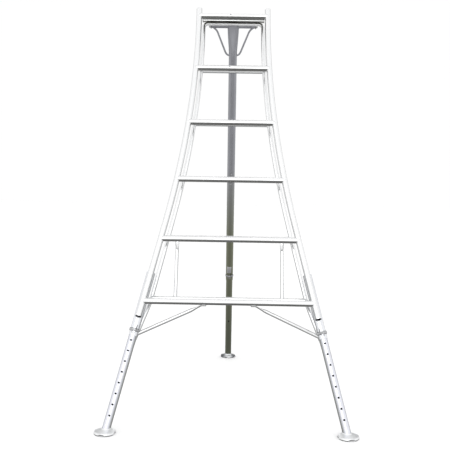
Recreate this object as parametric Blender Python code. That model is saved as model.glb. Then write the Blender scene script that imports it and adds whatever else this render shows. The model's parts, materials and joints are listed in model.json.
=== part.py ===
"""Tripod orchard ladder with three telescopic legs, in metres, +Z up.

The front frame leans back and carries the rungs. The rear leg hangs from a pivot under the top
tread. Frame coordinates (across, along, behind) follow the leaning frame: across is world X,
along runs up the slope from the ground, and behind is square to the frame, towards the rear leg.
"""
import math

import bmesh
import bpy
from mathutils import Matrix, Vector

# ---- driving dimensions -------------------------------------------------------------------
GAP = 0.0003
LEAN = math.radians(18.0)
FLARE = math.radians(13.2)

RUNG_PITCH = 0.305
RUNG_COUNT = 5
FIRST_RUNG = 0.612
TOP_RUNG = FIRST_RUNG + RUNG_COUNT * RUNG_PITCH
RUNG_RADIUS = 0.0145
RUNG_WALL = 0.0018

STILE_RADIUS = 0.0145
STILE_WALL = 0.0018
STILE_BOTTOM = 0.535
STILE_TOP = 2.178
FLARE_END = 1.0
FLARE_START = 2.12
TOP_HALF_WIDTH = 0.1815

TREAD_DEPTH = 0.080
REAR_RUNG_RADIUS = 0.0125
REAR_STILE_RADIUS = 0.0095
REAR_INSET_TOP = 0.022
REAR_INSET_BOTTOM = 0.031
HOOP_DROP = 0.024
HOOP_BEND = 0.024
HOOP_SPLIT = 0.122
REAR_STILE_END = 0.498
REAR_STILE_TUCK = 0.017
REAR_STILE_BACK = 0.023
SPACER_RADIUS = 0.0080
SMALL_WALL = 0.0015

PLATE_HALF_LENGTH = 0.165
PLATE_THICKNESS = 0.0025
PLATE_LIP = 0.0110
PLATE_LIP_END = 0.022
PLATE_BACK = 0.010
FOLD_RADIUS = 0.0012

SLEEVE_RADIUS = 0.0210
SLEEVE_BORE = 0.01935
SLEEVE_BOTTOM = 0.452
SLEEVE_TOP = 0.755
LEG_RADIUS = 0.0190
LEG_BORE = 0.0170
LEG_OUTSET = 0.005
LEG_TOP = 0.700
LEG_END_HEIGHT = 0.0155
HOLE_PITCH = 0.050
HOLE_RADIUS = 0.0041
HOLE_SIDES = 8
DRILL_START = 0.010
DRILL_CLEAR = 0.004
PIN_DRILL = (0.012, 0.030)
LOCK_ALONG = 0.479
HOLES_ABOVE_LOCK = 2
HOLES_BELOW_LOCK = 8

STRUT_ACROSS = 0.258
STRUT_RADIUS = 0.0085
BRACE_RADIUS = 0.0085
BRACE_REACH = 0.105
BRACE_END = 0.462
BRACE_TUCK = 0.0146
BRACE_BEND = 0.034
BRACE_FLAT = 0.024

FOOT_RADIUS = 0.0485
FOOT_NECK = 0.0235
CLAW_NOTCH = 0.0080
CLAW_COUNT = 4
CLAW_PHASE = {"left": math.radians(-101.0), "right": math.radians(-79.0), "rear": math.radians(-110.0)}
CLAW_HEIGHT = 0.010
FOOT_SIDES = 24

BAND_THICKNESS = 0.0018
BAND_HEIGHT = 0.013
BAND_WRAP = math.radians(156.0)
PIN_RADIUS = 0.0040
PIN_HEAD_RADIUS = 0.0070
PIN_HEAD_THICKNESS = 0.0035

PIVOT_BEHIND_HOOP = 0.032
PIVOT_BELOW_HOOP = 0.0055
PIVOT_ROD_RADIUS = 0.0050
PIVOT_HEAD_RADIUS = 0.0090
CROSS_TUBE_RADIUS = 0.0090
CROSS_TUBE_BORE = 0.0053
CROSS_TUBE_HALF = 0.1180
LUG_THICKNESS = 0.0050
LUG_RADIUS = 0.0125
LUG_NECK = 0.0045

REAR_FOOT_DEPTH = 1.520
REAR_UPPER_RADIUS = 0.02225
REAR_UPPER_BORE = 0.02055
REAR_LOWER_RADIUS = 0.02025
REAR_LOWER_BORE = 0.01825
REAR_UPPER_LENGTH = 1.563
REAR_LOWER_START = 1.200
REAR_LOCK = 1.533
REAR_HOLE_PITCH = 0.150
REAR_HOLES_BELOW = 3
REAR_HOLES_ABOVE = 1
HEAD_OVERRUN = 0.012
HEAD_TAPER = 0.160
HEAD_STATIONS = (0.0, 0.032, 0.064, 0.096, 0.128, HEAD_TAPER)
HEAD_WIDTH = 1.385
HEAD_THICKNESS = 0.50
TIE_PATH = ((0.003, 0.1112), (0.022, 0.0885), (0.124, 0.0471), (0.140, 0.0405), (0.150, 0.0330),
            (0.1545, 0.0200))
TIE_RADIUS = 0.0048

BIG_SIDES = 16
TUBE_SIDES = 12
SMALL_SIDES = 10
RUNG_TURN = math.pi / TUBE_SIDES
SIDES = {"left": -1.0, "right": 1.0}

TUBE_METAL = ("frame_aluminium", (0.82, 0.83, 0.85), 0.32, 1.0)
LEG_METAL = ("leg_aluminium", (0.74, 0.75, 0.80), 0.30, 1.0)
REAR_METAL = ("rear_leg_aluminium", (0.52, 0.53, 0.52), 0.36, 1.0)
FOOT_METAL = ("pressed_aluminium", (0.78, 0.80, 0.82), 0.38, 1.0)
STEEL = ("spring_steel", (0.60, 0.61, 0.62), 0.28, 1.0)
PLASTIC = ("cap_plastic", (0.82, 0.82, 0.83), 0.55, 0.0)


# ---- places ---------------------------------------------------------------------------------
FRAME_UP = Vector((0.0, math.sin(LEAN), math.cos(LEAN)))
FRAME_BACK = Vector((0.0, math.cos(LEAN), -math.sin(LEAN)))
LEG_BEHIND = STILE_RADIUS + SLEEVE_RADIUS + GAP
FRONT_FOOT_DEPTH = LEG_BEHIND / math.cos(LEAN)
ORIGIN_DEPTH = (FRONT_FOOT_DEPTH + REAR_FOOT_DEPTH) / 2.0


def frame_point(across, along, behind):
    """World point of frame coordinates. The origin is on the ground, midway between the feet."""
    return Vector((across, -ORIGIN_DEPTH, 0.0)) + FRAME_UP * along + FRAME_BACK * behind


def stile_across(along):
    """Half width at the stile's centre line: straight at the foot, then one long bend."""
    bend = max(FLARE_START - max(along, FLARE_END), 0.0)
    curved = math.tan(FLARE) * bend * bend / (2.0 * (FLARE_START - FLARE_END))
    straight = math.tan(FLARE) * max(FLARE_END - along, 0.0)
    return TOP_HALF_WIDTH + curved + straight


def rear_across(along):
    """Half width of the rear stile, level with the front stile's point at along."""
    share = (along - FIRST_RUNG) / (TOP_RUNG - FIRST_RUNG)
    return stile_across(along) - REAR_INSET_BOTTOM - share * (REAR_INSET_TOP - REAR_INSET_BOTTOM)


def level_behind(across, along, depth):
    """World point straight behind a frame point, at the same height."""
    return frame_point(across, along, 0.0) + Vector((0.0, depth, 0.0))


LEG_START = stile_across(STILE_BOTTOM) + LEG_OUTSET + math.tan(FLARE) * STILE_BOTTOM


def leg_point(side, along):
    """World point on a front leg's axis."""
    return frame_point(side * (LEG_START - math.tan(FLARE) * along), along, LEG_BEHIND)


def leg_along_at_height(height):
    """Along value where the leg's axis is at this height over the ground."""
    return (height + LEG_BEHIND * math.sin(LEAN)) / math.cos(LEAN)


HOOP = level_behind(0.0, TOP_RUNG, TREAD_DEPTH) - FRAME_UP * HOOP_DROP
PIVOT = HOOP + Vector((0.0, PIVOT_BEHIND_HOOP, -PIVOT_BELOW_HOOP))
REAR_GROUND = Vector((0.0, REAR_FOOT_DEPTH - ORIGIN_DEPTH, 0.0))
REAR_DOWN = (REAR_GROUND - PIVOT).normalized()
REAR_LENGTH = (REAR_GROUND - PIVOT).length
REAR_FACE = Vector((0.0, REAR_DOWN.z, -REAR_DOWN.y))


def rear_point(along, across=0.0, forward=0.0):
    """World point by distance down the rear leg, then across and forward of its axis."""
    return PIVOT + REAR_DOWN * along + Vector((across, 0.0, 0.0)) + REAR_FACE * forward


# ---- building blocks ------------------------------------------------------------------------
def clear_scene():
    for item in list(bpy.data.objects):
        bpy.data.objects.remove(item, do_unlink=True)


def material(finish):
    name, colour, roughness, metallic = finish
    found = bpy.data.materials.get(name)
    if found:
        return found
    made = bpy.data.materials.new(name)
    made.use_nodes = True
    shader = made.node_tree.nodes["Principled BSDF"]
    shader.inputs["Base Color"].default_value = (*colour, 1.0)
    shader.inputs["Roughness"].default_value = roughness
    shader.inputs["Metallic"].default_value = metallic
    return made


def add_object(name, mesh_build, finish, origin=None):
    """Turn a bmesh in world coordinates into an object with its origin at a chosen point."""
    origin = Vector(origin) if origin is not None else Vector((0.0, 0.0, 0.0))
    bmesh.ops.translate(mesh_build, verts=mesh_build.verts, vec=-origin)
    bmesh.ops.recalc_face_normals(mesh_build, faces=mesh_build.faces)
    mesh = bpy.data.meshes.new(name)
    mesh_build.to_mesh(mesh)
    mesh_build.free()
    mesh.shade_smooth()
    mesh.set_sharp_from_angle(angle=math.radians(35.0))
    made = bpy.data.objects.new(name, mesh)
    made.location = origin
    bpy.context.scene.collection.objects.link(made)
    if finish:
        mesh.materials.append(material(finish))
    return made


def section_frames(points, reference):
    """Axes square to a path at each of its points."""
    frames = []
    for index in range(len(points)):
        before = points[max(index - 1, 0)]
        after = points[min(index + 1, len(points) - 1)]
        tangent = (after - before).normalized()
        first = reference.cross(tangent).normalized()
        second = tangent.cross(first).normalized()
        frames.append((first, second))
    return frames


def add_rings(mesh_build, points, frames, radius, sides, stretch, turn):
    rings = []
    for index, (centre, (first, second)) in enumerate(zip(points, frames)):
        wide, thick = stretch(index) if stretch else (1.0, 1.0)
        ring = []
        for step in range(sides):
            angle = 2.0 * math.pi * step / sides + turn
            offset = first * math.cos(angle) * wide + second * math.sin(angle) * thick
            ring.append(mesh_build.verts.new(centre + offset * radius))
        rings.append(ring)
    return rings


def join_rings(mesh_build, one, other):
    count = len(one)
    for step in range(count):
        nxt = (step + 1) % count
        mesh_build.faces.new((one[step], one[nxt], other[nxt], other[step]))


def sweep(mesh_build, points, radius, bore=None, sides=TUBE_SIDES, reference=FRAME_BACK, stretch=None,
          turn=0.0):
    """Round bar or open tube along a path.

    stretch(index) gives width and thickness factors, and turn rotates the sections.
    """
    frames = section_frames(points, reference)
    outer = add_rings(mesh_build, points, frames, radius, sides, stretch, turn)
    for one, other in zip(outer, outer[1:]):
        join_rings(mesh_build, one, other)
    if bore is None:
        mesh_build.faces.new(outer[0])
        mesh_build.faces.new(outer[-1])
        return
    inner = add_rings(mesh_build, points, frames, bore, sides, stretch, turn)
    for one, other in zip(inner, inner[1:]):
        join_rings(mesh_build, one, other)
    join_rings(mesh_build, outer[0], inner[0])
    join_rings(mesh_build, outer[-1], inner[-1])


def tube(name, points, radius, bore, finish, origin=None, **options):
    mesh_build = bmesh.new()
    sweep(mesh_build, points, radius, bore, **options)
    return add_object(name, mesh_build, finish, origin)


def cutter(name, build):
    """Hidden solid that takes material off its neighbours."""
    mesh_build = bmesh.new()
    build(mesh_build)
    made = add_object(name, mesh_build, None)
    made.hide_render = True
    made.display_type = "WIRE"
    return made


def cut(target, *tools):
    for tool in tools:
        step = target.modifiers.new("cut_" + tool.name, "BOOLEAN")
        step.operation = "DIFFERENCE"
        step.solver = "EXACT"
        step.object = tool


def outline_plate(name, outline, axis, thickness, finish, origin=None):
    """Flat plate: a closed outline extruded half each way along an axis."""
    mesh_build = bmesh.new()
    near = [mesh_build.verts.new(point - axis * thickness / 2.0) for point in outline]
    far = [mesh_build.verts.new(point + axis * thickness / 2.0) for point in outline]
    mesh_build.faces.new(near)
    mesh_build.faces.new(far)
    join_rings(mesh_build, near, far)
    return add_object(name, mesh_build, finish, origin)


# ---- front frame ----------------------------------------------------------------------------
def stile_path(side, low, high):
    levels = [low, FLARE_END]
    steps = 8
    for step in range(1, steps + 1):
        levels.append(FLARE_END + (FLARE_START - FLARE_END) * step / steps)
    levels.append(high)
    return [frame_point(side * stile_across(level), level, 0.0) for level in levels]


def rear_stile_path(side):
    """From the sleeve up the rear of the frame and round the hoop's corner."""
    lift = TREAD_DEPTH * math.sin(LEAN)
    behind = TREAD_DEPTH * math.cos(LEAN)
    low = LEG_START - math.tan(FLARE) * REAR_STILE_END - REAR_STILE_TUCK
    points = [frame_point(side * low, REAR_STILE_END, LEG_BEHIND + REAR_STILE_BACK)]
    levels = [FIRST_RUNG - 0.020, 0.75, FLARE_END]
    levels += [FLARE_END + (TOP_RUNG - 0.11 - FLARE_END) * step / 6 for step in range(1, 7)]
    for level in levels:
        points.append(frame_point(side * rear_across(level), level + lift, behind))
    top = TOP_RUNG + lift - HOOP_DROP
    turn = rear_across(TOP_RUNG)
    for step in range(5):
        angle = math.pi / 2.0 * step / 4
        across = turn - HOOP_BEND * (1.0 - math.cos(angle))
        points.append(frame_point(side * across, top - HOOP_BEND * (1.0 - math.sin(angle)), behind))
    points.append(frame_point(side * HOOP_SPLIT, top, behind))
    return points


def make_stiles(tools):
    for label, side in SIDES.items():
        path = stile_path(side, STILE_BOTTOM, STILE_TOP)
        tube("front_stile_" + label, path, STILE_RADIUS, STILE_RADIUS - STILE_WALL, TUBE_METAL)
        make_stile_cap(label, side)
        rear = tube("rear_stile_" + label, rear_stile_path(side), REAR_STILE_RADIUS,
                    REAR_STILE_RADIUS - SMALL_WALL, TUBE_METAL, sides=SMALL_SIDES)
        cut(rear, tools["sleeve_" + label])
    half = HOOP_SPLIT - GAP
    path = [HOOP + Vector((across, 0.0, 0.0)) for across in (-half, half)]
    tube("rear_top_tube", path, REAR_STILE_RADIUS, REAR_STILE_RADIUS - SMALL_WALL, TUBE_METAL,
         sides=SMALL_SIDES)


def make_stile_cap(label, side):
    """Push-in plug: a domed head over the tube's end and a stem down its bore."""
    stem = STILE_RADIUS - STILE_WALL - GAP
    profile = ((-0.014, stem), (GAP, stem), (GAP, STILE_RADIUS), (0.0022, STILE_RADIUS),
               (0.0042, STILE_RADIUS * 0.86), (0.0052, STILE_RADIUS * 0.45))
    mesh_build = bmesh.new()
    top = frame_point(side * TOP_HALF_WIDTH, STILE_TOP, 0.0)
    across = Vector((1.0, 0.0, 0.0))
    rings = []
    for height, radius in profile:
        ring = []
        for step in range(TUBE_SIDES):
            angle = 2.0 * math.pi * step / TUBE_SIDES
            offset = across * math.cos(angle) + FRAME_BACK * math.sin(angle)
            ring.append(mesh_build.verts.new(top + FRAME_UP * height + offset * radius))
        rings.append(ring)
    for one, other in zip(rings, rings[1:]):
        join_rings(mesh_build, one, other)
    mesh_build.faces.new(rings[0])
    mesh_build.faces.new(rings[-1])
    add_object("stile_cap_" + label, mesh_build, PLASTIC)


def make_rungs(tools):
    stiles = [tools["stile_left"], tools["stile_right"]]
    rear_stiles = [tools["rear_stile_left"], tools["rear_stile_right"]]
    for number in range(1, RUNG_COUNT + 2):
        along = FIRST_RUNG + (number - 1) * RUNG_PITCH
        reach = stile_across(along) - 0.004
        ends = [frame_point(side * reach, along, 0.0) for side in SIDES.values()]
        name = "front_rung_top" if number > RUNG_COUNT else "front_rung_%d" % number
        rung = tube(name, ends, RUNG_RADIUS, RUNG_RADIUS - RUNG_WALL, TUBE_METAL, turn=RUNG_TURN)
        cut(rung, *stiles)
        if number > RUNG_COUNT:
            break
        reach = rear_across(along) - 0.003
        ends = [level_behind(side * reach, along, TREAD_DEPTH) for side in SIDES.values()]
        rung = tube("rear_rung_%d" % number, ends, REAR_RUNG_RADIUS, REAR_RUNG_RADIUS - SMALL_WALL,
                    TUBE_METAL, turn=RUNG_TURN)
        cut(rung, *rear_stiles)
        make_spacers(number, along, tools)


def make_spacers(number, along, tools):
    """Short level tubes that tie a rung's ends to the rear stiles."""
    for label, side in SIDES.items():
        across = side * (rear_across(along) - 0.001)
        ends = [level_behind(across, along, depth)
                for depth in (RUNG_RADIUS - 0.003, TREAD_DEPTH - REAR_STILE_RADIUS + 0.003)]
        spacer = tube("tread_spacer_%d_%s" % (number, label), ends, SPACER_RADIUS,
                      SPACER_RADIUS - SMALL_WALL, TUBE_METAL, sides=SMALL_SIDES,
                      reference=Vector((0.0, 0.0, 1.0)))
        cut(spacer, tools["rung_%d" % number], tools["rear_stile_" + label])
        cut(spacer, tools["rear_rung_%d" % number], tools["stile_" + label])


def make_rivets():
    """Small domed rivets on the faces of the two top rungs."""
    for number, level in enumerate((TOP_RUNG, TOP_RUNG - RUNG_PITCH), start=1):
        face = frame_point(-0.015, level, -RUNG_RADIUS - GAP)
        path = [face - FRAME_BACK * height for height in (0.0, 0.0008, 0.0018)]
        scale = (1.0, 0.9, 0.45)
        tube("rung_rivet_%d" % number, path, 0.0040, None, STEEL, sides=SMALL_SIDES,
             reference=Vector((1.0, 0.0, 0.0)), stretch=lambda index: (scale[index], scale[index]))


def make_platform():
    """Folded tray between the top rung and the hoop, with lips turned down in front and at its ends."""
    rung = frame_point(0.0, TOP_RUNG, 0.0)
    under = HOOP.z + REAR_STILE_RADIUS + GAP
    top = under + PLATE_THICKNESS
    drop = rung.z - top
    front = rung.y + math.sqrt(max(RUNG_RADIUS ** 2 - drop ** 2, 0.0)) + 0.0012
    back = HOOP.y + PLATE_BACK
    half = PLATE_HALF_LENGTH
    mesh_build = bmesh.new()
    corners = ((-half, front), (half, front), (half, back), (-half, back))
    upper = [mesh_build.verts.new((x, y, top)) for x, y in corners]
    lower = [mesh_build.verts.new((x, y, top - PLATE_LIP)) for x, y in corners]
    mesh_build.faces.new(upper)
    mesh_build.faces.new(lower)
    join_rings(mesh_build, upper, lower)
    plate = add_object("platform_plate", mesh_build, TUBE_METAL)

    def hollow(build):
        inner = half - PLATE_THICKNESS
        wide = half + 0.01
        lip_end = HOOP.y - PLATE_LIP_END
        outline = ((-inner, front + PLATE_THICKNESS), (inner, front + PLATE_THICKNESS), (inner, lip_end),
                   (wide, lip_end), (wide, back + 0.01), (-wide, back + 0.01), (-wide, lip_end),
                   (-inner, lip_end))
        high = [build.verts.new((x, y, under)) for x, y in outline]
        low = [build.verts.new((x, y, under - 0.03)) for x, y in outline]
        build.faces.new(high)
        build.faces.new(low)
        join_rings(build, high, low)

    cut(plate, cutter("hollow_platform", hollow))
    bevel = plate.modifiers.new("fold_radius", "BEVEL")
    bevel.width = FOLD_RADIUS
    bevel.segments = 1
    bevel.limit_method = "ANGLE"
    bevel.angle_limit = math.radians(60.0)


def make_struts(tools):
    """Upright tubes between the two lowest treads, pressed flat at the top end."""
    low = level_behind(0.0, FIRST_RUNG, TREAD_DEPTH)
    high = level_behind(0.0, FIRST_RUNG + RUNG_PITCH, TREAD_DEPTH)
    slope = (high - low).normalized()
    span = (high - low).length
    stations = (REAR_RUNG_RADIUS - 0.002, span - 0.062, span - 0.045, span - 0.030,
                span - REAR_RUNG_RADIUS + 0.001)
    flats = ((1.0, 1.0), (1.0, 1.0), (1.06, 0.78), (1.14, 0.42), (1.14, 0.42))
    for label, side in SIDES.items():
        path = [low + slope * station + Vector((side * STRUT_ACROSS, 0.0, 0.0)) for station in stations]
        strut = tube("strut_" + label, path, STRUT_RADIUS, STRUT_RADIUS - SMALL_WALL, TUBE_METAL,
                     sides=SMALL_SIDES, stretch=lambda index: flats[index], reference=FRAME_BACK)
        cut(strut, tools["rear_rung_1"], tools["rear_rung_2"])


def make_braces(tools):
    """Diagonal tubes from the sleeves to the underside of the lowest rung."""
    flats = ((1.0, 1.0), (1.0, 1.0), (1.0, 1.0), (1.12, 0.62), (1.22, 0.34), (1.22, 0.34))
    for label, side in SIDES.items():
        start = LEG_START - math.tan(FLARE) * BRACE_END - BRACE_TUCK
        under = FIRST_RUNG - RUNG_RADIUS - BRACE_RADIUS * flats[-1][1] - GAP
        low = frame_point(side * start, BRACE_END, LEG_BEHIND + 0.007)
        bend = frame_point(side * (BRACE_REACH + BRACE_BEND), under - 0.006, 0.002)
        path = [low, low.lerp(bend, 0.5), low.lerp(bend, 0.88), low.lerp(bend, 0.96)]
        path.append(frame_point(side * (BRACE_REACH + BRACE_FLAT), under, 0.0))
        path.append(frame_point(side * BRACE_REACH, under, 0.0))
        brace = tube("diagonal_brace_" + label, path, BRACE_RADIUS, BRACE_RADIUS - SMALL_WALL,
                     TUBE_METAL, sides=SMALL_SIDES, stretch=lambda index: flats[index],
                     reference=FRAME_UP)
        cut(brace, tools["sleeve_" + label])


# ---- telescopic front legs ------------------------------------------------------------------
def leg_down(side):
    return (leg_point(side, 0.0) - leg_point(side, 1.0)).normalized()


def lock_centre(side):
    """Point on the leg's axis behind the locking pin."""
    return leg_point(side, LOCK_ALONG)


def hole_row(build, start, step_vector, numbers, direction, radius):
    """Row of round drills through one wall of a tube."""
    for number in numbers:
        centre = start + step_vector * number
        ends = [centre + direction * reach for reach in (DRILL_START, radius + DRILL_CLEAR)]
        sweep(build, ends, HOLE_RADIUS, None, sides=HOLE_SIDES, reference=step_vector.normalized(),
              turn=math.pi / HOLE_SIDES)


def make_sleeves(tools):
    for label, side in SIDES.items():
        path = [leg_point(side, SLEEVE_BOTTOM), leg_point(side, SLEEVE_TOP)]
        sleeve = tube("leg_sleeve_" + label, path, SLEEVE_RADIUS, SLEEVE_BORE, TUBE_METAL, sides=BIG_SIDES)
        cut(sleeve, tools["pin_hole_" + label])


def make_front_legs():
    for label, side in SIDES.items():
        end = leg_along_at_height(LEG_END_HEIGHT)
        path = [leg_point(side, end), leg_point(side, LEG_TOP)]
        leg = tube("front_leg_" + label, path, LEG_RADIUS, LEG_BORE, LEG_METAL,
                   origin=leg_point(side, end), sides=BIG_SIDES)
        step = leg_down(side) * HOLE_PITCH
        numbers = range(-HOLES_ABOVE_LOCK, HOLES_BELOW_LOCK + 1)

        def drills(build):
            hole_row(build, lock_centre(side), step, numbers, -FRAME_BACK, LEG_RADIUS)

        cut(leg, cutter("leg_drills_" + label, drills))
        make_foot(label, leg_point(side, end), leg_down(side), LEG_RADIUS)


def make_foot(label, leg_end, down, leg_radius):
    """Pressed dish with a clawed rim. Its rings lie level and follow the leaning leg up."""
    ground = leg_end + down * (leg_end.z / -down.z)
    lean = Vector((down.x, down.y, 0.0))
    tilt = lean.normalized()
    grow = 1.0 / -down.z
    bore = leg_radius + GAP
    profile = ((bore, FOOT_NECK, True), (bore + 0.0020, FOOT_NECK, True), (bore + 0.0032, 0.0210, True),
               (bore + 0.0085, 0.0180, True), (bore + 0.0170, 0.0152, False),
               (FOOT_RADIUS - 0.0035, 0.0115, False), (FOOT_RADIUS, 0.0065, False), (FOOT_RADIUS, 0.0, False),
               (FOOT_RADIUS - 0.0045, 0.0, False), (FOOT_RADIUS - 0.0075, 0.0065, False),
               (bore + 0.0130, 0.0105, False), (bore, 0.0135, True))
    mesh_build = bmesh.new()
    rings = []
    for radius, height, follows in profile:
        centre = ground - down * (height / -down.z) if follows else ground.copy()
        centre.z = height
        stretch = grow if follows else 1.0
        ring = []
        for step in range(FOOT_SIDES):
            angle = 2.0 * math.pi * step / FOOT_SIDES
            offset = Vector((math.cos(angle), math.sin(angle), 0.0)) * radius
            offset += tilt * offset.dot(tilt) * (stretch - 1.0)
            on_rim = radius > FOOT_RADIUS - CLAW_HEIGHT and height < CLAW_HEIGHT
            lift = claw_lift(angle - CLAW_PHASE[label]) * (1.0 - height / CLAW_HEIGHT) if on_rim else 0.0
            point = centre + offset + Vector((0.0, 0.0, lift))
            ring.append(mesh_build.verts.new(point))
        rings.append(ring)
    for one, other in zip(rings, rings[1:] + rings[:1]):
        join_rings(mesh_build, one, other)
    add_object("foot_" + label, mesh_build, FOOT_METAL, origin=leg_end)


def claw_lift(angle):
    """Height of the rim over the ground: flat lobes with rounded notches between them."""
    wave = math.cos(CLAW_COUNT * angle)
    return CLAW_NOTCH * max(wave - 0.1, 0.0) / 0.9


def make_lock(label, centre, face, axis, tube_radius):
    """Half band that hugs a tube, and the locking pin through its middle."""
    across = axis.cross(face).normalized()
    inner = tube_radius + GAP
    outer = inner + BAND_THICKNESS
    steps = 10
    near = []
    far = []
    for step in range(steps + 1):
        angle = BAND_WRAP * (step / steps - 0.5)
        spoke = face * math.cos(angle) + across * math.sin(angle)
        near.append(spoke * inner)
        far.append(spoke * outer)
    outline = [centre + offset for offset in near + far[::-1]]
    origin = centre + face * outer
    band = outline_plate("lock_band_" + label, outline, axis, BAND_HEIGHT, STEEL, origin=origin)

    def opening(build):
        ends = [centre + face * (tube_radius - DRILL_CLEAR), centre + face * (outer + DRILL_CLEAR)]
        sweep(build, ends, PIN_RADIUS + GAP, None, sides=SMALL_SIDES, reference=axis)

    cut(band, cutter("band_drill_" + label, opening))
    make_pin(label, centre, face, axis, tube_radius, outer)


def make_pin(label, centre, face, axis, tube_radius, band_face):
    tip = tube_radius - (SLEEVE_RADIUS - LEG_RADIUS) + GAP
    head = band_face + GAP
    profile = ((tip, PIN_RADIUS * 0.75), (tip + 0.0008, PIN_RADIUS), (head, PIN_RADIUS),
               (head, PIN_HEAD_RADIUS), (head + PIN_HEAD_THICKNESS * 0.6, PIN_HEAD_RADIUS),
               (head + PIN_HEAD_THICKNESS, PIN_HEAD_RADIUS * 0.7))
    across = axis.cross(face).normalized()
    mesh_build = bmesh.new()
    rings = []
    for reach, radius in profile:
        ring = []
        for step in range(SMALL_SIDES):
            angle = 2.0 * math.pi * step / SMALL_SIDES
            offset = axis * math.cos(angle) + across * math.sin(angle)
            ring.append(mesh_build.verts.new(centre + face * reach + offset * radius))
        rings.append(ring)
    for one, other in zip(rings, rings[1:]):
        join_rings(mesh_build, one, other)
    mesh_build.faces.new(rings[0])
    mesh_build.faces.new(rings[-1])
    add_object("lock_pin_" + label, mesh_build, STEEL, origin=centre + face * band_face)


def make_front_locks():
    for label, side in SIDES.items():
        make_lock(label, lock_centre(side), -FRAME_BACK, leg_down(side), SLEEVE_RADIUS)


# ---- rear leg -------------------------------------------------------------------------------
def pivot_points(*across):
    return [PIVOT + Vector((value, 0.0, 0.0)) for value in across]


def make_pivot():
    up = Vector((0.0, 0.0, 1.0))
    tube("rear_cross_tube", pivot_points(-CROSS_TUBE_HALF, CROSS_TUBE_HALF), CROSS_TUBE_RADIUS,
         CROSS_TUBE_BORE, REAR_METAL, origin=PIVOT, reference=up)
    outside = CROSS_TUBE_HALF + 2.0 * GAP + LUG_THICKNESS + GAP
    stations = (-outside - 0.006, -outside, -outside, outside, outside, outside + 0.006)
    wide = PIVOT_HEAD_RADIUS / PIVOT_ROD_RADIUS
    growth = (wide, wide, 1.0, 1.0, wide, wide)
    mesh_build = bmesh.new()
    rings = []
    for station, factor in zip(stations, growth):
        ring = []
        for step in range(SMALL_SIDES):
            angle = 2.0 * math.pi * step / SMALL_SIDES
            offset = Vector((0.0, math.cos(angle), math.sin(angle))) * PIVOT_ROD_RADIUS * factor
            ring.append(mesh_build.verts.new(PIVOT + offset + Vector((station, 0.0, 0.0))))
        rings.append(ring)
    for one, other in zip(rings, rings[1:]):
        join_rings(mesh_build, one, other)
    mesh_build.faces.new(rings[0])
    mesh_build.faces.new(rings[-1])
    add_object("pivot_rod", mesh_build, STEEL, origin=PIVOT)
    make_lugs()


def make_lugs():
    """Cheek plates from the hoop to the rod's ends."""
    away = PIVOT - HOOP
    forward = -away.normalized()
    side_way = Vector((0.0, -forward.z, forward.y))
    reach = away.length - REAR_STILE_RADIUS - GAP
    for label, side in SIDES.items():
        across = Vector((side * (CROSS_TUBE_HALF + GAP + LUG_THICKNESS / 2.0), 0.0, 0.0))
        outline = [PIVOT + across + forward * reach + side_way * LUG_NECK]
        for step in range(13):
            angle = math.pi * step / 12
            spoke = side_way * math.cos(angle) - forward * math.sin(angle)
            outline.append(PIVOT + across + spoke * LUG_RADIUS)
        outline.append(PIVOT + across + forward * reach - side_way * LUG_NECK)
        lug = outline_plate("pivot_lug_" + label, outline, Vector((1.0, 0.0, 0.0)), LUG_THICKNESS, TUBE_METAL)

        def bore(build):
            ends = [PIVOT + across * 0.9, PIVOT + across * 1.1]
            sweep(build, ends, PIVOT_ROD_RADIUS + GAP, None, sides=SMALL_SIDES,
                  reference=Vector((0.0, 0.0, 1.0)))

        cut(lug, cutter("lug_drill_" + label, bore))


def head_stretch(stations):
    """Width and thickness of the rear leg's pressed head at each station."""
    factors = []
    for station in stations:
        share = min(max(station / HEAD_TAPER, 0.0), 1.0)
        share = share * share * (3.0 - 2.0 * share)
        factors.append((HEAD_WIDTH + (1.0 - HEAD_WIDTH) * share,
                        HEAD_THICKNESS + (1.0 - HEAD_THICKNESS) * share))
    return lambda index: factors[index]


def make_rear_leg(tools):
    stations = (-HEAD_OVERRUN, *HEAD_STATIONS, REAR_UPPER_LENGTH)
    path = [rear_point(station) for station in stations]
    upper = tube("rear_leg_upper", path, REAR_UPPER_RADIUS, REAR_UPPER_BORE, REAR_METAL, origin=PIVOT,
                 sides=BIG_SIDES, reference=REAR_FACE, stretch=head_stretch(stations))

    def cross_bore(build):
        sweep(build, pivot_points(-0.05, 0.05), CROSS_TUBE_RADIUS + GAP, None,
              reference=Vector((0.0, 0.0, 1.0)))

    def pin_bore(build):
        ends = [rear_point(REAR_LOCK, 0.0, reach) for reach in PIN_DRILL]
        sweep(build, ends, PIN_RADIUS + GAP, None, sides=SMALL_SIDES, reference=REAR_DOWN)

    cut(upper, cutter("cross_bore", cross_bore), cutter("rear_pin_bore", pin_bore))
    end = REAR_LENGTH - LEG_END_HEIGHT / -REAR_DOWN.z
    lower = tube("rear_leg_lower", [rear_point(REAR_LOWER_START), rear_point(end)], REAR_LOWER_RADIUS,
                 REAR_LOWER_BORE, REAR_METAL, origin=rear_point(end), sides=BIG_SIDES, reference=REAR_FACE)

    def drills(build):
        numbers = range(-REAR_HOLES_ABOVE, REAR_HOLES_BELOW + 1)
        step = REAR_DOWN * REAR_HOLE_PITCH
        hole_row(build, rear_point(REAR_LOCK), step, numbers, REAR_FACE, REAR_LOWER_RADIUS)

    cut(lower, cutter("rear_leg_drills", drills))
    make_foot("rear", rear_point(end), REAR_DOWN, REAR_LOWER_RADIUS)
    make_ties(tools)
    make_lock("rear", rear_point(REAR_LOCK), REAR_FACE, REAR_DOWN, REAR_UPPER_RADIUS)


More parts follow.
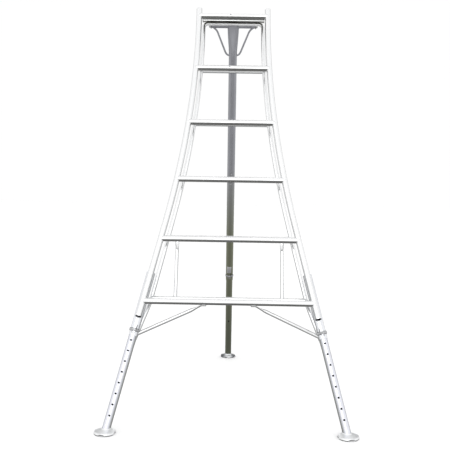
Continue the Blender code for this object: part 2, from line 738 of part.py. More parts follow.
def make_ties(tools):
    """Slanting bars from the cross tube to the flanks of the rear leg."""
    for label, side in SIDES.items():
        path = [rear_point(along, side * across) for along, across in TIE_PATH]
        tie = tube("rear_tie_" + label, path, TIE_RADIUS, None, REAR_METAL, origin=PIVOT, sides=10,
                   reference=REAR_FACE)
        cut(tie, tools["cross_tube"], tools["rear_head"])


# ---- cutters and assembly -------------------------------------------------------------------
def make_tools():
    tools = {}

    def swept(name, points, radius, **options):
        tools[name] = cutter("tool_" + name, lambda build: sweep(build, points, radius, None, **options))

    for label, side in SIDES.items():
        swept("stile_" + label, stile_path(side, STILE_BOTTOM - 0.02, STILE_TOP + 0.02), STILE_RADIUS + GAP)
        swept("rear_stile_" + label, rear_stile_path(side), REAR_STILE_RADIUS + GAP, sides=SMALL_SIDES)
        path = [leg_point(side, SLEEVE_BOTTOM - 0.05), leg_point(side, SLEEVE_TOP + 0.05)]
        swept("sleeve_" + label, path, SLEEVE_RADIUS + GAP, sides=BIG_SIDES)
        centre = lock_centre(side)
        drill = [centre - FRAME_BACK * reach for reach in PIN_DRILL]
        swept("pin_hole_" + label, drill, PIN_RADIUS + GAP, sides=SMALL_SIDES, reference=leg_down(side))
    for number in range(1, RUNG_COUNT + 1):
        along = FIRST_RUNG + (number - 1) * RUNG_PITCH
        reach = stile_across(along)
        swept("rung_%d" % number, [frame_point(side * reach, along, 0.0) for side in SIDES.values()],
              RUNG_RADIUS + GAP, turn=RUNG_TURN)
        swept("rear_rung_%d" % number,
              [level_behind(side * reach, along, TREAD_DEPTH) for side in SIDES.values()],
              REAR_RUNG_RADIUS + GAP, turn=RUNG_TURN)
    swept("cross_tube", pivot_points(-CROSS_TUBE_HALF - 0.01, CROSS_TUBE_HALF + 0.01),
          CROSS_TUBE_RADIUS + GAP, reference=Vector((0.0, 0.0, 1.0)))
    stations = (-HEAD_OVERRUN, *HEAD_STATIONS, 2.0 * HEAD_TAPER)
    swept("rear_head", [rear_point(station) for station in stations], REAR_UPPER_RADIUS + GAP,
          sides=BIG_SIDES, reference=REAR_FACE, stretch=head_stretch(stations))
    return tools


def main():
    clear_scene()
    tools = make_tools()
    make_stiles(tools)
    make_rungs(tools)
    make_rivets()
    make_platform()
    make_struts(tools)
    make_braces(tools)
    make_sleeves(tools)
    make_front_legs()
    make_front_locks()
    make_pivot()
    make_rear_leg(tools)


main()
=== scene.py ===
"""Looks of the tripod orchard ladder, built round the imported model, in metres, +Z up.

Frame coordinates (across, along, behind) follow the leaning front frame: across is world X, along
runs up the slope from the ground, and behind is square to the frame, towards the rear leg.
"""
import json
import math

import bmesh
import bpy
from mathutils import Matrix, Vector, noise


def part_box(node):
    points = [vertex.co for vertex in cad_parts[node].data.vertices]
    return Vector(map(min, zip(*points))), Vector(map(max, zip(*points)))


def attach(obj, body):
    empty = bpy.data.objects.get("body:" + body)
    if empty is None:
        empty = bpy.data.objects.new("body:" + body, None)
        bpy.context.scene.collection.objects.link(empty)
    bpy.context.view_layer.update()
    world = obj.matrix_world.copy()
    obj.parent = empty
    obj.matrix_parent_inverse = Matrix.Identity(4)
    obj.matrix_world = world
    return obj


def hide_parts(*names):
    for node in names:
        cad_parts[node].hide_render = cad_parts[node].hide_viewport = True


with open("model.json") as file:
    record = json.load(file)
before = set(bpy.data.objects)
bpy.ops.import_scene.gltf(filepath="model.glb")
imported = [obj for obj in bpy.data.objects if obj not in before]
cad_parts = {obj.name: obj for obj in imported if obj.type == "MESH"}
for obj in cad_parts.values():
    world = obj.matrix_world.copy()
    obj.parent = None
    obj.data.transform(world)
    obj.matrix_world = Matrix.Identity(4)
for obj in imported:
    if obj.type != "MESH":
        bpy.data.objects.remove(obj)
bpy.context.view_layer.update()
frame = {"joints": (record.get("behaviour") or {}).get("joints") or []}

# ---- sizes of the design ----------------------------------------------------------------------
FLARE = math.radians(13.2)
RUNG_PITCH = 0.305
RUNG_COUNT = 5
FIRST_RUNG = 0.612
TOP_RUNG = FIRST_RUNG + RUNG_COUNT * RUNG_PITCH
RUNG_RADIUS = 0.0145
STILE_RADIUS = 0.0145
TUBE_WALL = 0.0018
STILE_BOTTOM = 0.535
STILE_TOP = 2.178
FLARE_END = 1.0
FLARE_START = 2.12
TOP_HALF_WIDTH = 0.1815

TREAD_DEPTH = 0.080
REAR_RUNG_RADIUS = 0.0125
REAR_STILE_RADIUS = 0.0095
REAR_INSET_TOP = 0.022
REAR_INSET_BOTTOM = 0.031
HOOP_DROP = 0.024
HOOP_BEND = 0.024
REAR_STILE_END = 0.498
REAR_STILE_TUCK = 0.017
REAR_STILE_BACK = 0.023
SPACER_RADIUS = 0.0080
SMALL_WALL = 0.0015

PLATE_THICKNESS = 0.0025
PLATE_LIP_END = 0.022

SLEEVE_RADIUS = 0.0210
SLEEVE_BORE = 0.01935
SLEEVE_BOTTOM = 0.452
SLEEVE_TOP = 0.755
LEG_RADIUS = 0.0190
LEG_BORE = 0.0170
LEG_OUTSET = 0.005
LEG_TOP = 0.700
LEG_END_HEIGHT = 0.0155
HOLE_PITCH = 0.050
HOLE_RADIUS = 0.0041
LOCK_ALONG = 0.479
HOLES_ABOVE_LOCK = 2
HOLES_BELOW_LOCK = 8

STRUT_ACROSS = 0.258
STRUT_RADIUS = 0.0085
BRACE_RADIUS = 0.0085
BRACE_REACH = 0.105

FOOT_RADIUS = 0.0485
FOOT_NECK = 0.0235
CLAW_NOTCH = 0.0080
CLAW_COUNT = 4
CLAW_PHASE = {"left": math.radians(-101.0), "right": math.radians(-79.0), "rear": math.radians(-110.0)}

BAND_THICKNESS = 0.0018
BAND_HEIGHT = 0.013
BAND_WRAP = math.radians(156.0)
PIN_RADIUS = 0.0040
PIN_HEAD_RADIUS = 0.0070
PIN_HEAD_THICKNESS = 0.0035
RING_RADIUS = 0.0085
RING_WIRE = 0.0011
RIM_WIRE = 0.0011

CROSS_TUBE_RADIUS = 0.0090
CROSS_TUBE_BORE = 0.0053
CROSS_TUBE_HALF = 0.1180
LUG_THICKNESS = 0.0050
LUG_RADIUS = 0.0125
LUG_NECK = 0.0045
ROD_RADIUS = 0.0050

REAR_UPPER_RADIUS = 0.02225
REAR_UPPER_BORE = 0.02055
REAR_LOWER_RADIUS = 0.02025
REAR_LOWER_BORE = 0.01825
REAR_UPPER_LENGTH = 1.5575
REAR_LOWER_START = 1.200
REAR_LOCK = 1.5235
REAR_HOLE_PITCH = 0.1655
REAR_HOLES_BELOW = 2
REAR_HOLES_ABOVE = 1
HEAD_OVERRUN = 0.012
HEAD_TAPER = 0.160
HEAD_WIDTH = 1.385
HEAD_THICKNESS = 0.50
TIE_PATH = ((0.003, 0.1112), (0.022, 0.0885), (0.124, 0.0471), (0.140, 0.0405), (0.150, 0.0330),
            (0.1545, 0.0200))
TIE_RADIUS = 0.0048

# ---- sizes of the finish ----------------------------------------------------------------------
EMBED = 0.0006
EDGE = 0.0004
RIB_PITCH = 0.0036
RIVET_RADIUS = 0.0040
RIVET_RISE = 0.0018
REAR_PLATE_HEIGHT = 0.044
REAR_PLATE_THICKNESS = 0.0014
REAR_PLATE_STANDOFF = 0.0006
WASHER_PROFILE = [(0.0, 0.0055), (0.0, 0.0090), (0.0003, 0.0093), (0.0013, 0.0093), (0.0016, 0.0090),
                  (0.0016, 0.0055)]
UPPER_RIVETS = ((0.846, 0.002), (0.907, 0.0))
LOCK_RIVETS = ((0.0265, -0.0115), (0.0265, 0.004), (0.0585, 0.010))
WELD = 0.0019
SMALL_WELD = 0.0015
FILLET_WELD = 0.0034
RIPPLE = 0.0030
TURN = 2.0 * math.pi
TUBE_SIDES = 40
SMALL_SIDES = 28
DRILL_COLUMNS = 48
DRILL_HALF = 3
SIDES = {"left": -1.0, "right": 1.0}
ACROSS = Vector((1.0, 0.0, 0.0))
UP = Vector((0.0, 0.0, 1.0))


# ---- places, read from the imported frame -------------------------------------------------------
def middle(node):
    low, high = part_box(node)
    return (low + high) / 2.0


def slide_axis(joint):
    found = [item for item in frame["joints"] if item["name"] == joint]
    return Vector(found[0]["axis"]).normalized()


FRAME_UP = (middle("front_rung_top") - middle("front_rung_1")).normalized()
FRAME_BACK = Vector((0.0, FRAME_UP.z, -FRAME_UP.y))
FRAME_BASE = middle("front_rung_1") - FRAME_UP * FIRST_RUNG
LEG_BEHIND = SLEEVE_RADIUS + STILE_RADIUS
HOOP = middle("rear_top_tube")
PIVOT = middle("pivot_rod")
REAR_DOWN = slide_axis("rear_leg_slide")
REAR_FACE = Vector((0.0, REAR_DOWN.z, -REAR_DOWN.y))
REAR_LENGTH = -PIVOT.z / REAR_DOWN.z


def frame_point(across, along, behind):
    """World point of frame coordinates."""
    return Vector((across, FRAME_BASE.y, FRAME_BASE.z)) + FRAME_UP * along + FRAME_BACK * behind


def stile_across(along):
    """Half width at the stile's centre line: straight at the foot, then one long bend."""
    bend = max(FLARE_START - max(along, FLARE_END), 0.0)
    curved = math.tan(FLARE) * bend * bend / (2.0 * (FLARE_START - FLARE_END))
    straight = math.tan(FLARE) * max(FLARE_END - along, 0.0)
    return TOP_HALF_WIDTH + curved + straight


def rear_across(along):
    """Half width of the rear stile, level with the front stile's point at along."""
    share = (along - FIRST_RUNG) / (TOP_RUNG - FIRST_RUNG)
    return stile_across(along) - REAR_INSET_BOTTOM - share * (REAR_INSET_TOP - REAR_INSET_BOTTOM)


def level_behind(across, along, depth):
    """World point straight behind a frame point, at the same height."""
    return frame_point(across, along, 0.0) + Vector((0.0, depth, 0.0))


LEG_START = stile_across(STILE_BOTTOM) + LEG_OUTSET + math.tan(FLARE) * STILE_BOTTOM


def leg_point(side, along):
    """World point on a front leg's axis."""
    return frame_point(side * (LEG_START - math.tan(FLARE) * along), along, LEG_BEHIND)


def leg_down(side):
    return (leg_point(side, 0.0) - leg_point(side, 1.0)).normalized()


def leg_along_at_height(height):
    return (height + LEG_BEHIND * FRAME_UP.y) / FRAME_UP.z


def rear_point(along, across=0.0, forward=0.0):
    """World point by distance down the rear leg, then across and forward of its axis."""
    return PIVOT + REAR_DOWN * along + ACROSS * across + REAR_FACE * forward


def ease(share):
    share = min(max(share, 0.0), 1.0)
    return share * share * (3.0 - 2.0 * share)


def blend(low, high, share):
    return low + (high - low) * share


# ---- mesh building ----------------------------------------------------------------------------
class Shell:
    """Points and faces, with a grain map that holds metres round and metres along a tube."""

    def __init__(self):
        self.points = []
        self.grain = []
        self.bored = []
        self.faces = []
        self.boring = 0.0

    def add(self, point, turn=0.0, along=0.0, radius=0.01):
        self.points.append(Vector(point))
        self.grain.append((turn, along, radius))
        self.bored.append(self.boring)
        return len(self.points) - 1

    def place(self, indices):
        return [self.points[index].copy() for index in indices]

    def bridge(self, one, other):
        count = len(one)
        for step in range(count):
            after = (step + 1) % count
            self.faces.append((one[step], one[after], other[after], other[step]))

    def fan(self, ring):
        """Close a ring with triangles to a point at its middle."""
        total = Vector((0.0, 0.0, 0.0))
        for index in ring:
            total += self.points[index]
        centre = self.add(total / len(ring), *self.grain[ring[0]])
        for step in range(len(ring)):
            self.faces.append((ring[step], ring[(step + 1) % len(ring)], centre))

    def grain_map(self):
        values = []
        for face in self.faces:
            first = self.grain[face[0]][0]
            for index in face:
                turn, along, radius = self.grain[index]
                turn -= TURN * round((turn - first) / TURN)
                values.extend((turn * radius, along))
        return values


def piece(shell, name, body, finish, nodes=(), crease=38.0):
    """Turn a shell into an object that rides a body and stands for some CAD nodes."""
    mesh = bpy.data.meshes.new(name)
    mesh.from_pydata(shell.points, [], shell.faces)
    layer = mesh.uv_layers.new(name="grain")
    layer.data.foreach_set("uv", shell.grain_map())
    mesh.attributes.new("bored", "FLOAT", "POINT").data.foreach_set("value", shell.bored)
    work = bmesh.new()
    work.from_mesh(mesh)
    bmesh.ops.recalc_face_normals(work, faces=work.faces)
    work.to_mesh(mesh)
    work.free()
    mesh.shade_smooth()
    mesh.set_sharp_from_angle(angle=math.radians(crease))
    mesh.materials.append(finish)
    made = bpy.data.objects.new(name, mesh)
    bpy.context.scene.collection.objects.link(made)
    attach(made, body)
    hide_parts(*nodes)
    return made


def section_frames(path, reference):
    """Axes square to a path at each of its points."""
    frames = []
    for index in range(len(path)):
        before = path[max(index - 1, 0)]
        after = path[min(index + 1, len(path) - 1)]
        tangent = (after - before).normalized()
        first = reference.cross(tangent).normalized()
        frames.append((first, tangent.cross(first).normalized(), tangent))
    return frames


def distances(path):
    total = [0.0]
    for one, other in zip(path, path[1:]):
        total.append(total[-1] + (other - one).length)
    return total


def ring(shell, centre, axes, radius, along, sides, wide=1.0, thick=1.0):
    made = []
    for step in range(sides):
        angle = TURN * step / sides
        offset = axes[0] * (math.cos(angle) * wide) + axes[1] * (math.sin(angle) * thick)
        made.append(shell.add(centre + offset * radius, angle, along, radius))
    return made


def rounded(path, fillet, steps=7):
    """Path with its inner corners turned into soft bends."""
    made = [path[0]]
    for before, corner, after in zip(path, path[1:], path[2:]):
        reach = min(fillet, (corner - before).length * 0.48, (after - corner).length * 0.48)
        start = corner + (before - corner).normalized() * reach
        end = corner + (after - corner).normalized() * reach
        for step in range(steps + 1):
            share = step / steps
            made.append(start.lerp(corner, share).lerp(corner.lerp(end, share), share))
    made.append(path[-1])
    return made


def fine(path, spacing):
    """Path with extra points, so that no stretch is longer than the spacing."""
    made = [path[0]]
    for one, other in zip(path, path[1:]):
        count = max(1, math.ceil((other - one).length / spacing))
        for step in range(1, count + 1):
            made.append(one.lerp(other, step / count))
    return made


def cope(point, way, neighbour):
    """Where a line from a point meets a round tube, or comes nearest to the tube's axis."""
    centre, axis, radius = neighbour
    offset = point - centre
    offset -= axis * offset.dot(axis)
    slope = way - axis * way.dot(axis)
    square = slope.length_squared
    half = slope.dot(offset)
    inside = half * half - square * (offset.length_squared - radius * radius)
    reach = (-half - math.sqrt(inside)) / square if inside > 0.0 else -half / square
    return point + way * reach


def end_rings(shell, inner_ring, centre, axes, radius, along, sides, outward, neighbour, shape):
    """Close off one end of a tube's wall: coped to a neighbour, or square with a broken edge."""
    if neighbour:
        made = []
        for index in inner_ring:
            turn = shell.grain[index][0]
            point = cope(shell.points[index], outward, neighbour)
            made.append(shell.add(point, turn, along, radius))
        return [made]
    sign = -1.0 if radius < 0.0 else 1.0
    size = abs(radius)
    full = ring(shell, centre - outward * EDGE, axes, size, along, sides, *shape)
    edge = ring(shell, centre, axes, size - sign * EDGE, along, sides, *shape)
    return [full, edge]


def tube(shell, path, radius, bore=None, sides=TUBE_SIDES, reference=FRAME_BACK, stretch=None,
         start=None, end=None):
    """Bar or open tube along a path. start and end are neighbours that its ends are shaped to.

    stretch(distance) gives width and thickness factors. Returns the outer edge at each end.
    """
    frames = section_frames(path, reference)
    along = distances(path)
    shapes = [stretch(value) if stretch else (1.0, 1.0) for value in along]
    layers = []
    for size in (radius, -bore) if bore else (radius,):
        shell.boring = float(size < 0.0)
        rings = []
        for index in range(1, len(path) - 1):
            rings.append(ring(shell, path[index], frames[index], abs(size), along[index], sides,
                              *shapes[index]))
        first = end_rings(shell, rings[0], path[0], frames[0], size, along[0], sides,
                          -frames[0][2], start, shapes[0])
        last = end_rings(shell, rings[-1], path[-1], frames[-1], size, along[-1], sides,
                         frames[-1][2], end, shapes[-1])
        layers.append(first[::-1] + rings + last)
    shell.boring = 0.0
    for rings in layers:
        for one, other in zip(rings, rings[1:]):
            shell.bridge(one, other)
    if bore:
        shell.bridge(layers[0][0], layers[1][0])
        shell.bridge(layers[0][-1], layers[1][-1])
    else:
        shell.fan(layers[0][0])
        shell.fan(layers[0][-1])
    return shell.place(layers[0][0]), shell.place(layers[0][-1])


def turned(shell, origin, axis, profile, sides=SMALL_SIDES, across=None):
    """Solid of revolution: the profile is a list of (distance along the axis, radius)."""
    side_way = across or (ACROSS if abs(axis.x) < 0.7 else UP)
    first = side_way.cross(axis).normalized()
    axes = (first, axis.cross(first).normalized())
    rings = [ring(shell, origin + axis * reach, axes, radius, reach, sides) for reach, radius in profile]
    for one, other in zip(rings, rings[1:]):
        shell.bridge(one, other)
    shell.fan(rings[0])
    shell.fan(rings[-1])


def dome(radius, height, base=0.0, steps=6):
    """Profile of a round head that stands on base."""
    made = []
    for step in range(steps + 1):
        angle = math.pi / 2.0 * step / steps
        made.append((base + height * math.sin(angle), max(radius * math.cos(angle), radius * 0.06)))
    return made


def rivet(shell, face, outward, radius=0.0042, height=0.0019):
    """Blind rivet: a thin flange, a domed head and the dimple of its broken stem."""
    profile = [(-0.0015, radius * 0.7), (0.0, radius * 0.97), (0.0003, radius)]
    profile += [(reach, size) for reach, size in dome(radius * 0.97, height, 0.0003) if size > radius * 0.34]
    profile += [(height * 0.86, radius * 0.27), (height * 0.5, radius * 0.24), (height * 0.5, radius * 0.05)]
    turned(shell, face, outward, profile)


def bead(shell, points, radius, closed=True, outward=None):
    """Rippled weld bead along a line of points."""
    path = [Vector(point) for point in points]
    if closed:
        path.append(path[0].copy())
    along = distances(path)
    count = max(10, round(along[-1] / (RIPPLE / 4.0)))
    centroid = Vector((0.0, 0.0, 0.0))
    for point in path:
        centroid += point / len(path)
    samples = []
    segment = 0
    for step in range(count if closed else count + 1):
        reach = along[-1] * step / count
        while segment < len(along) - 2 and along[segment + 1] < reach:
            segment += 1
        share = (reach - along[segment]) / max(along[segment + 1] - along[segment], 1e-9)
        samples.append(path[segment].lerp(path[segment + 1], share))
    rings = []
    last = len(samples) - 1
    for step, point in enumerate(samples):
        before = samples[step - 1] if closed or step else point
        after = samples[(step + 1) % len(samples)] if closed or step < last else point
        tangent = (after - before).normalized()
        first = outward if outward else point - centroid
        first = (first - tangent * first.dot(tangent)).normalized()
        reach = along[-1] * step / count
        wave = abs(math.cos(math.pi * reach / RIPPLE))
        size = radius * (0.80 + 0.16 * wave + 0.10 * noise.noise(point * 180.0))
        if not closed:
            size *= blend(0.35, 1.0, ease(min(step, last - step) / 5.0))
        rings.append(ring(shell, point, (first, tangent.cross(first)), size, reach, 8))
    for one, other in zip(rings, rings[1:]):
        shell.bridge(one, other)
    if closed:
        shell.bridge(rings[-1], rings[0])
    else:
        shell.fan(rings[0])
        shell.fan(rings[-1])


class DrilledTube:
    """Tube wall with round holes through it, as one mesh of quads round each hole."""

    def __init__(self, shell, origin, down, face, radius, bore, shape=None):
        self.shell = shell
        self.origin = origin
        self.down = down
        self.face = face
        self.side = down.cross(face).normalized()
        self.sizes = (radius, bore)
        self.shape = shape or (lambda along: (1.0, 1.0))

    def point(self, along, turn, radius):
        wide, thick = self.shape(along)
        spoke = self.face * (math.cos(turn) * thick) + self.side * (math.sin(turn) * wide)
        return self.shell.add(self.origin + self.down * along + spoke * radius, turn, along, radius)

    def build(self, start, end, holes, hole_radius, stations=()):
        """holes is a list of (along, turn), where turn is 0 in front and pi at the back."""
        step = TURN * self.sizes[0] / DRILL_COLUMNS
        rows = {round(start + EDGE, 6), round(end - EDGE, 6), *(round(value, 6) for value in stations)}
        centres = sorted({along for along, turn in holes})
        rows = {row for row in rows if all(abs(row - along) > step * DRILL_HALF for along in centres)}
        for along in centres:
            rows |= {round(along + step * offset, 6) for offset in range(-DRILL_HALF, DRILL_HALF + 1)}
        rows = fill_rows(sorted(rows), 0.03)
        columns = [TURN * column / DRILL_COLUMNS for column in range(DRILL_COLUMNS)]
        edges = []
        patches = []
        for layer, radius in enumerate(self.sizes):
            inside = layer == 1
            self.shell.boring = float(inside)
            cells, borders = self.hole_cells(rows, holes)
            grid = {}

            def corner(row, column):
                key = (row, column % DRILL_COLUMNS)
                if key not in grid:
                    grid[key] = self.point(rows[row], columns[key[1]], radius)
                return grid[key]

            for row in range(len(rows) - 1):
                for column in range(DRILL_COLUMNS):
                    if (row, column) in cells:
                        continue
                    self.shell.faces.append((corner(row, column), corner(row, column + 1),
                                             corner(row + 1, column + 1), corner(row + 1, column)))
            sign = -1.0 if inside else 1.0
            lips = []
            for along, row in ((start, 0), (end, len(rows) - 1)):
                lip = [self.point(along, turn, radius - sign * EDGE) for turn in columns]
                self.shell.bridge(lip, [corner(row, column) for column in range(DRILL_COLUMNS)])
                lips.append(lip)
            edges.append(lips)
            patches.append([self.patch(border, corner, rows, hole, hole_radius, radius, sign)
                            for hole, border in zip(holes, borders)])
        self.shell.boring = 0.0
        for end_index in range(2):
            self.shell.bridge(edges[0][end_index], edges[1][end_index])
        for outer, inner in zip(*patches):
            self.shell.bridge(outer, inner)
        return rows

    def hole_cells(self, rows, holes):
        """Grid cells that the holes take, and the grid corners round each hole."""
        cells = set()
        borders = []
        for along, turn in holes:
            row = min(range(len(rows)), key=lambda index: abs(rows[index] - along)) - DRILL_HALF
            column = round(turn / TURN * DRILL_COLUMNS) - DRILL_HALF
            width = 2 * DRILL_HALF
            for down in range(width):
                for over in range(width):
                    cells.add((row + down, (column + over) % DRILL_COLUMNS))
            border = [(row, column + step) for step in range(width)]
            border += [(row + step, column + width) for step in range(width)]
            border += [(row + width, column + width - step) for step in range(width)]
            border += [(row + width - step, column) for step in range(width)]
            borders.append(border)
        return cells, borders

    def patch(self, border, corner, rows, hole, hole_radius, radius, sign):
        along, turn = hole
        outline = [corner(*key) for key in border]
        local = []
        for row, column in border:
            local.append(((TURN * column / DRILL_COLUMNS - turn) * radius, rows[row] - along))
        previous = outline
        walls = self.shell.boring
        for share in (0.4, 0.78, 1.0):
            self.shell.boring = 1.0 if share > 0.9 else walls
            made = []
            for over, down in local:
                angle = math.atan2(down, over)
                rim = hole_radius + EDGE
                goal = (radius * math.asin(rim * math.cos(angle) / radius), rim * math.sin(angle))
                place = (blend(over, goal[0], share), blend(down, goal[1], share))
                made.append(self.point(along + place[1], turn + place[0] / radius, radius))
            self.shell.bridge(previous, made)
            previous = made
        depth = radius - sign * EDGE
        made = []
        for over, down in local:
            angle = math.atan2(down, over)
            swing = math.asin(hole_radius * math.cos(angle) / depth)
            made.append(self.point(along + hole_radius * math.sin(angle), turn + swing, depth))
        self.shell.bridge(previous, made)
        self.shell.boring = walls
        return made


def fill_rows(rows, spacing):
    made = [rows[0]]
    for one, other in zip(rows, rows[1:]):
        count = max(1, math.ceil((other - one) / spacing))
        made += [one + (other - one) * step / count for step in range(1, count + 1)]
    return made


# ---- materials --------------------------------------------------------------------------------
BRIGHT = (0.95, 0.955, 0.96)
BRIGHT_DULL = (0.90, 0.905, 0.91)
# Painted shade for the sides of tubes that face the ladder's middle.
INWARD_SHADE = (0.26, 0.27, 0.27)
# Near-black painted shade inside the tubes, so that the holes read dark.
BORE_SHADE = (0.012, 0.012, 0.013)


class NodeMaker:
    """Short ways to add nodes to a shader tree."""

    def __init__(self, tree):
        self.tree = tree

    def node(self, kind, **values):
        made = self.tree.nodes.new("ShaderNode" + kind)
        for name, value in values.items():
            made.inputs[name.replace("_", " ")].default_value = value
        return made

    def link(self, source, target):
        self.tree.links.new(source, target)

    def spread(self, value, low, high, to_low=0.0, to_high=1.0):
        made = self.node("MapRange", From_Min=low, From_Max=high, To_Min=to_low, To_Max=to_high)
        self.link(value, made.inputs["Value"])
        return made.outputs["Result"]

    def maths(self, operation, one, other):
        made = self.node("Math")
        made.operation = operation
        for socket, value in zip(made.inputs, (one, other)):
            if isinstance(value, float):
                socket.default_value = value
            else:
                self.link(value, socket)
        return made.outputs["Value"]

    def mix(self, factor, one, other):
        made = self.node("Mix")
        made.data_type = "RGBA"
        self.link(factor, made.inputs[0])
        for socket, value in ((made.inputs[6], one), (made.inputs[7], other)):
            if isinstance(value, tuple):
                socket.default_value = (*value, 1.0)
            else:
                self.link(value, socket)
        return made.outputs[2]

    def split(self, vector):
        """X, Y and Z of a vector."""
        made = self.node("SeparateXYZ")
        self.link(vector, made.inputs[0])
        return made.outputs


class Finish(NodeMaker):
    """A Principled material with the ladder's own coordinates and painted shade."""

    def __init__(self, name, colour, roughness, metallic):
        self.material = bpy.data.materials.new(name)
        self.material.use_nodes = True
        super().__init__(self.material.node_tree)
        self.shader = self.tree.nodes["Principled BSDF"]
        self.shader.inputs["Base Color"].default_value = (*colour, 1.0)
        self.shader.inputs["Roughness"].default_value = roughness
        self.shader.inputs["Metallic"].default_value = metallic

    def noise(self, vector, scale, detail=3.0, roughness=0.55):
        made = self.node("TexNoise", Scale=scale, Detail=detail, Roughness=roughness)
        self.link(vector, made.inputs["Vector"])
        return made.outputs["Fac"]

    def grain(self, around, along, tilt=0.0):
        """Grain coordinates of a tube, scaled so that streaks run along it."""
        source = self.tree.nodes.new("ShaderNodeUVMap")
        source.uv_map = "grain"
        mapping = self.node("Mapping", Scale=(around, along, 1.0), Rotation=(0.0, 0.0, tilt))
        self.link(source.outputs["UV"], mapping.inputs["Vector"])
        return mapping.outputs["Vector"]

    def place(self, scale=(1.0, 1.0, 1.0)):
        source = self.tree.nodes.new("ShaderNodeTexCoord")
        mapping = self.node("Mapping", Scale=scale)
        self.link(source.outputs["Object"], mapping.inputs["Vector"])
        return mapping.outputs["Vector"]

    def parts(self, coordinate):
        """X, Y and Z of an object-space coordinate: "Object" for the place, "Normal" for the facing."""
        return self.split(self.node("TexCoord").outputs[coordinate])

    def lengthwise(self):
        """Distance along a tube from its first end."""
        source = self.node("UVMap")
        source.uv_map = "grain"
        return self.split(source.outputs["UV"])["Y"]

    def inward(self):
        """How squarely a surface faces the ladder's centre plane, from -1 to 1."""
        side = self.maths("SIGN", self.parts("Object")["X"], 0.0)
        facing = self.maths("MULTIPLY", self.parts("Normal")["X"], side)
        return self.maths("MULTIPLY", facing, -1.0)

    def paint_shade(self, tone, value, low, high, shade_colour):
        """Blend a tone to a painted shade colour as the value goes from low to high."""
        return self.mix(self.spread(value, low, high), tone, shade_colour)

    def painted_inward_shade(self, tone, full_up_to, least_from, least):
        """Painted shade on the sides that face each other, fading with height to the least share."""
        low_down = self.spread(self.parts("Object")["Z"], full_up_to, least_from, 1.0, least)
        facing = self.spread(self.inward(), 0.62, 0.95)
        return self.mix(self.maths("MULTIPLY", facing, low_down), tone, INWARD_SHADE)

    def painted_under_shade(self, tone, clean_to, full_from, shade_colour):
        """Painted shade on what faces the ground; the two limits are the normal's Z."""
        return self.paint_shade(tone, self.parts("Normal")["Z"], clean_to, full_from, shade_colour)

    def bore(self, tone):
        """Painted shade on the inside of a tube."""
        source = self.tree.nodes.new("ShaderNodeAttribute")
        source.attribute_name = "bored"
        return self.mix(source.outputs["Fac"], tone, BORE_SHADE)

    def bump(self, height, strength, distance):
        made = self.node("Bump", Strength=strength, Distance=distance)
        self.link(height, made.inputs["Height"])
        self.link(made.outputs["Normal"], self.shader.inputs["Normal"])

    def colour(self, source):
        self.link(source, self.shader.inputs["Base Color"])

    def roughness(self, source):
        self.link(source, self.shader.inputs["Roughness"])


def drawn_aluminium(name, colour, dull, roughness, rubbed, painted_shade):
    """Mill-finish tube: fine drawing lines along its length, soft clouding and rub marks."""
    made = Finish(name, colour, roughness, 1.0)
    lines = made.noise(made.grain(1500.0, 10.0), 1.0, 3.0)
    streaks = made.noise(made.grain(190.0, 1.6), 1.0, 4.0)
    scratches = made.spread(made.noise(made.grain(420.0, 26.0, 0.5), 1.0, 2.0), 0.69, 0.74, 0.0, rubbed)
    clouds = made.noise(made.place(), 7.0, 4.0)
    cloudy = made.spread(clouds, 0.35, 0.75, 0.0, 0.55)
    shade = made.maths("ADD", cloudy, made.spread(streaks, 0.4, 0.75, 0.0, 0.35))
    # The last argument paints shade into the tone.
    tone = painted_shade(made, made.mix(shade, colour, dull))
    scratched = made.mix(scratches, tone, tuple(channel * 0.72 for channel in dull))
    made.colour(made.bore(scratched))
    rough = made.maths("ADD", made.spread(lines, 0.3, 0.7, roughness - 0.05, roughness + 0.05),
                       made.spread(clouds, 0.3, 0.8, -0.03, 0.07))
    made.roughness(made.maths("ADD", rough, made.maths("MULTIPLY", scratches, 0.12)))
    height = made.maths("ADD", made.maths("MULTIPLY", lines, 0.5), made.maths("MULTIPLY", streaks, 0.8))
    made.bump(made.maths("SUBTRACT", height, scratches), 0.22, 0.00025)
    return made.material


def frame_painted_shade(finish, tone):
    # Painted shade on the sides that face each other and on what faces the ground.
    return finish.painted_under_shade(finish.painted_inward_shade(tone, 0.5, 1.5, 0.22), -0.72, -0.92, (0.36, 0.37, 0.37))


def stile_painted_shade(finish, tone):
    """The frame's painted shade, and a painted black shadow line at the cut end on the sleeve."""
    tone = frame_painted_shade(finish, tone)
    return finish.paint_shade(tone, finish.lengthwise(), 0.0062, 0.0050, (0.016, 0.017, 0.02))


def brace_painted_shade(finish, tone):
    # Painted shade along the underside of the brace.
    return finish.painted_under_shade(tone, -0.10, -0.75, (0.33, 0.335, 0.335))


def hoop_painted_shade(finish, tone):
    """Painted shade on the sides that face each other, fading out towards the top."""
    return finish.painted_inward_shade(tone, 0.5, 1.7, 0.0)


def rear_foot_painted_shade(finish, tone):
    """Painted shade on the sides and low rim of the rear leg's dish, which leaves a painted highlight in the
    middle.
    """
    aside = finish.maths("ABSOLUTE", finish.parts("Object")["X"], 0.0)
    tone = finish.paint_shade(tone, aside, 0.010, 0.034, (0.17, 0.18, 0.19))
    return finish.paint_shade(tone, finish.parts("Object")["Z"], 0.0050, 0.0024, (0.11, 0.11, 0.11))


def tread_painted_shade(finish, tone):
    """Painted shade under a tread."""
    return finish.painted_under_shade(tone, -0.16, -0.28, (0.25, 0.252, 0.245))


def sleeve_painted_shade(finish, tone):
    # Painted shade on the side of the sleeve that faces the ladder's middle.
    return finish.paint_shade(tone, finish.inward(), 0.72, 0.97, (0.34, 0.345, 0.35))


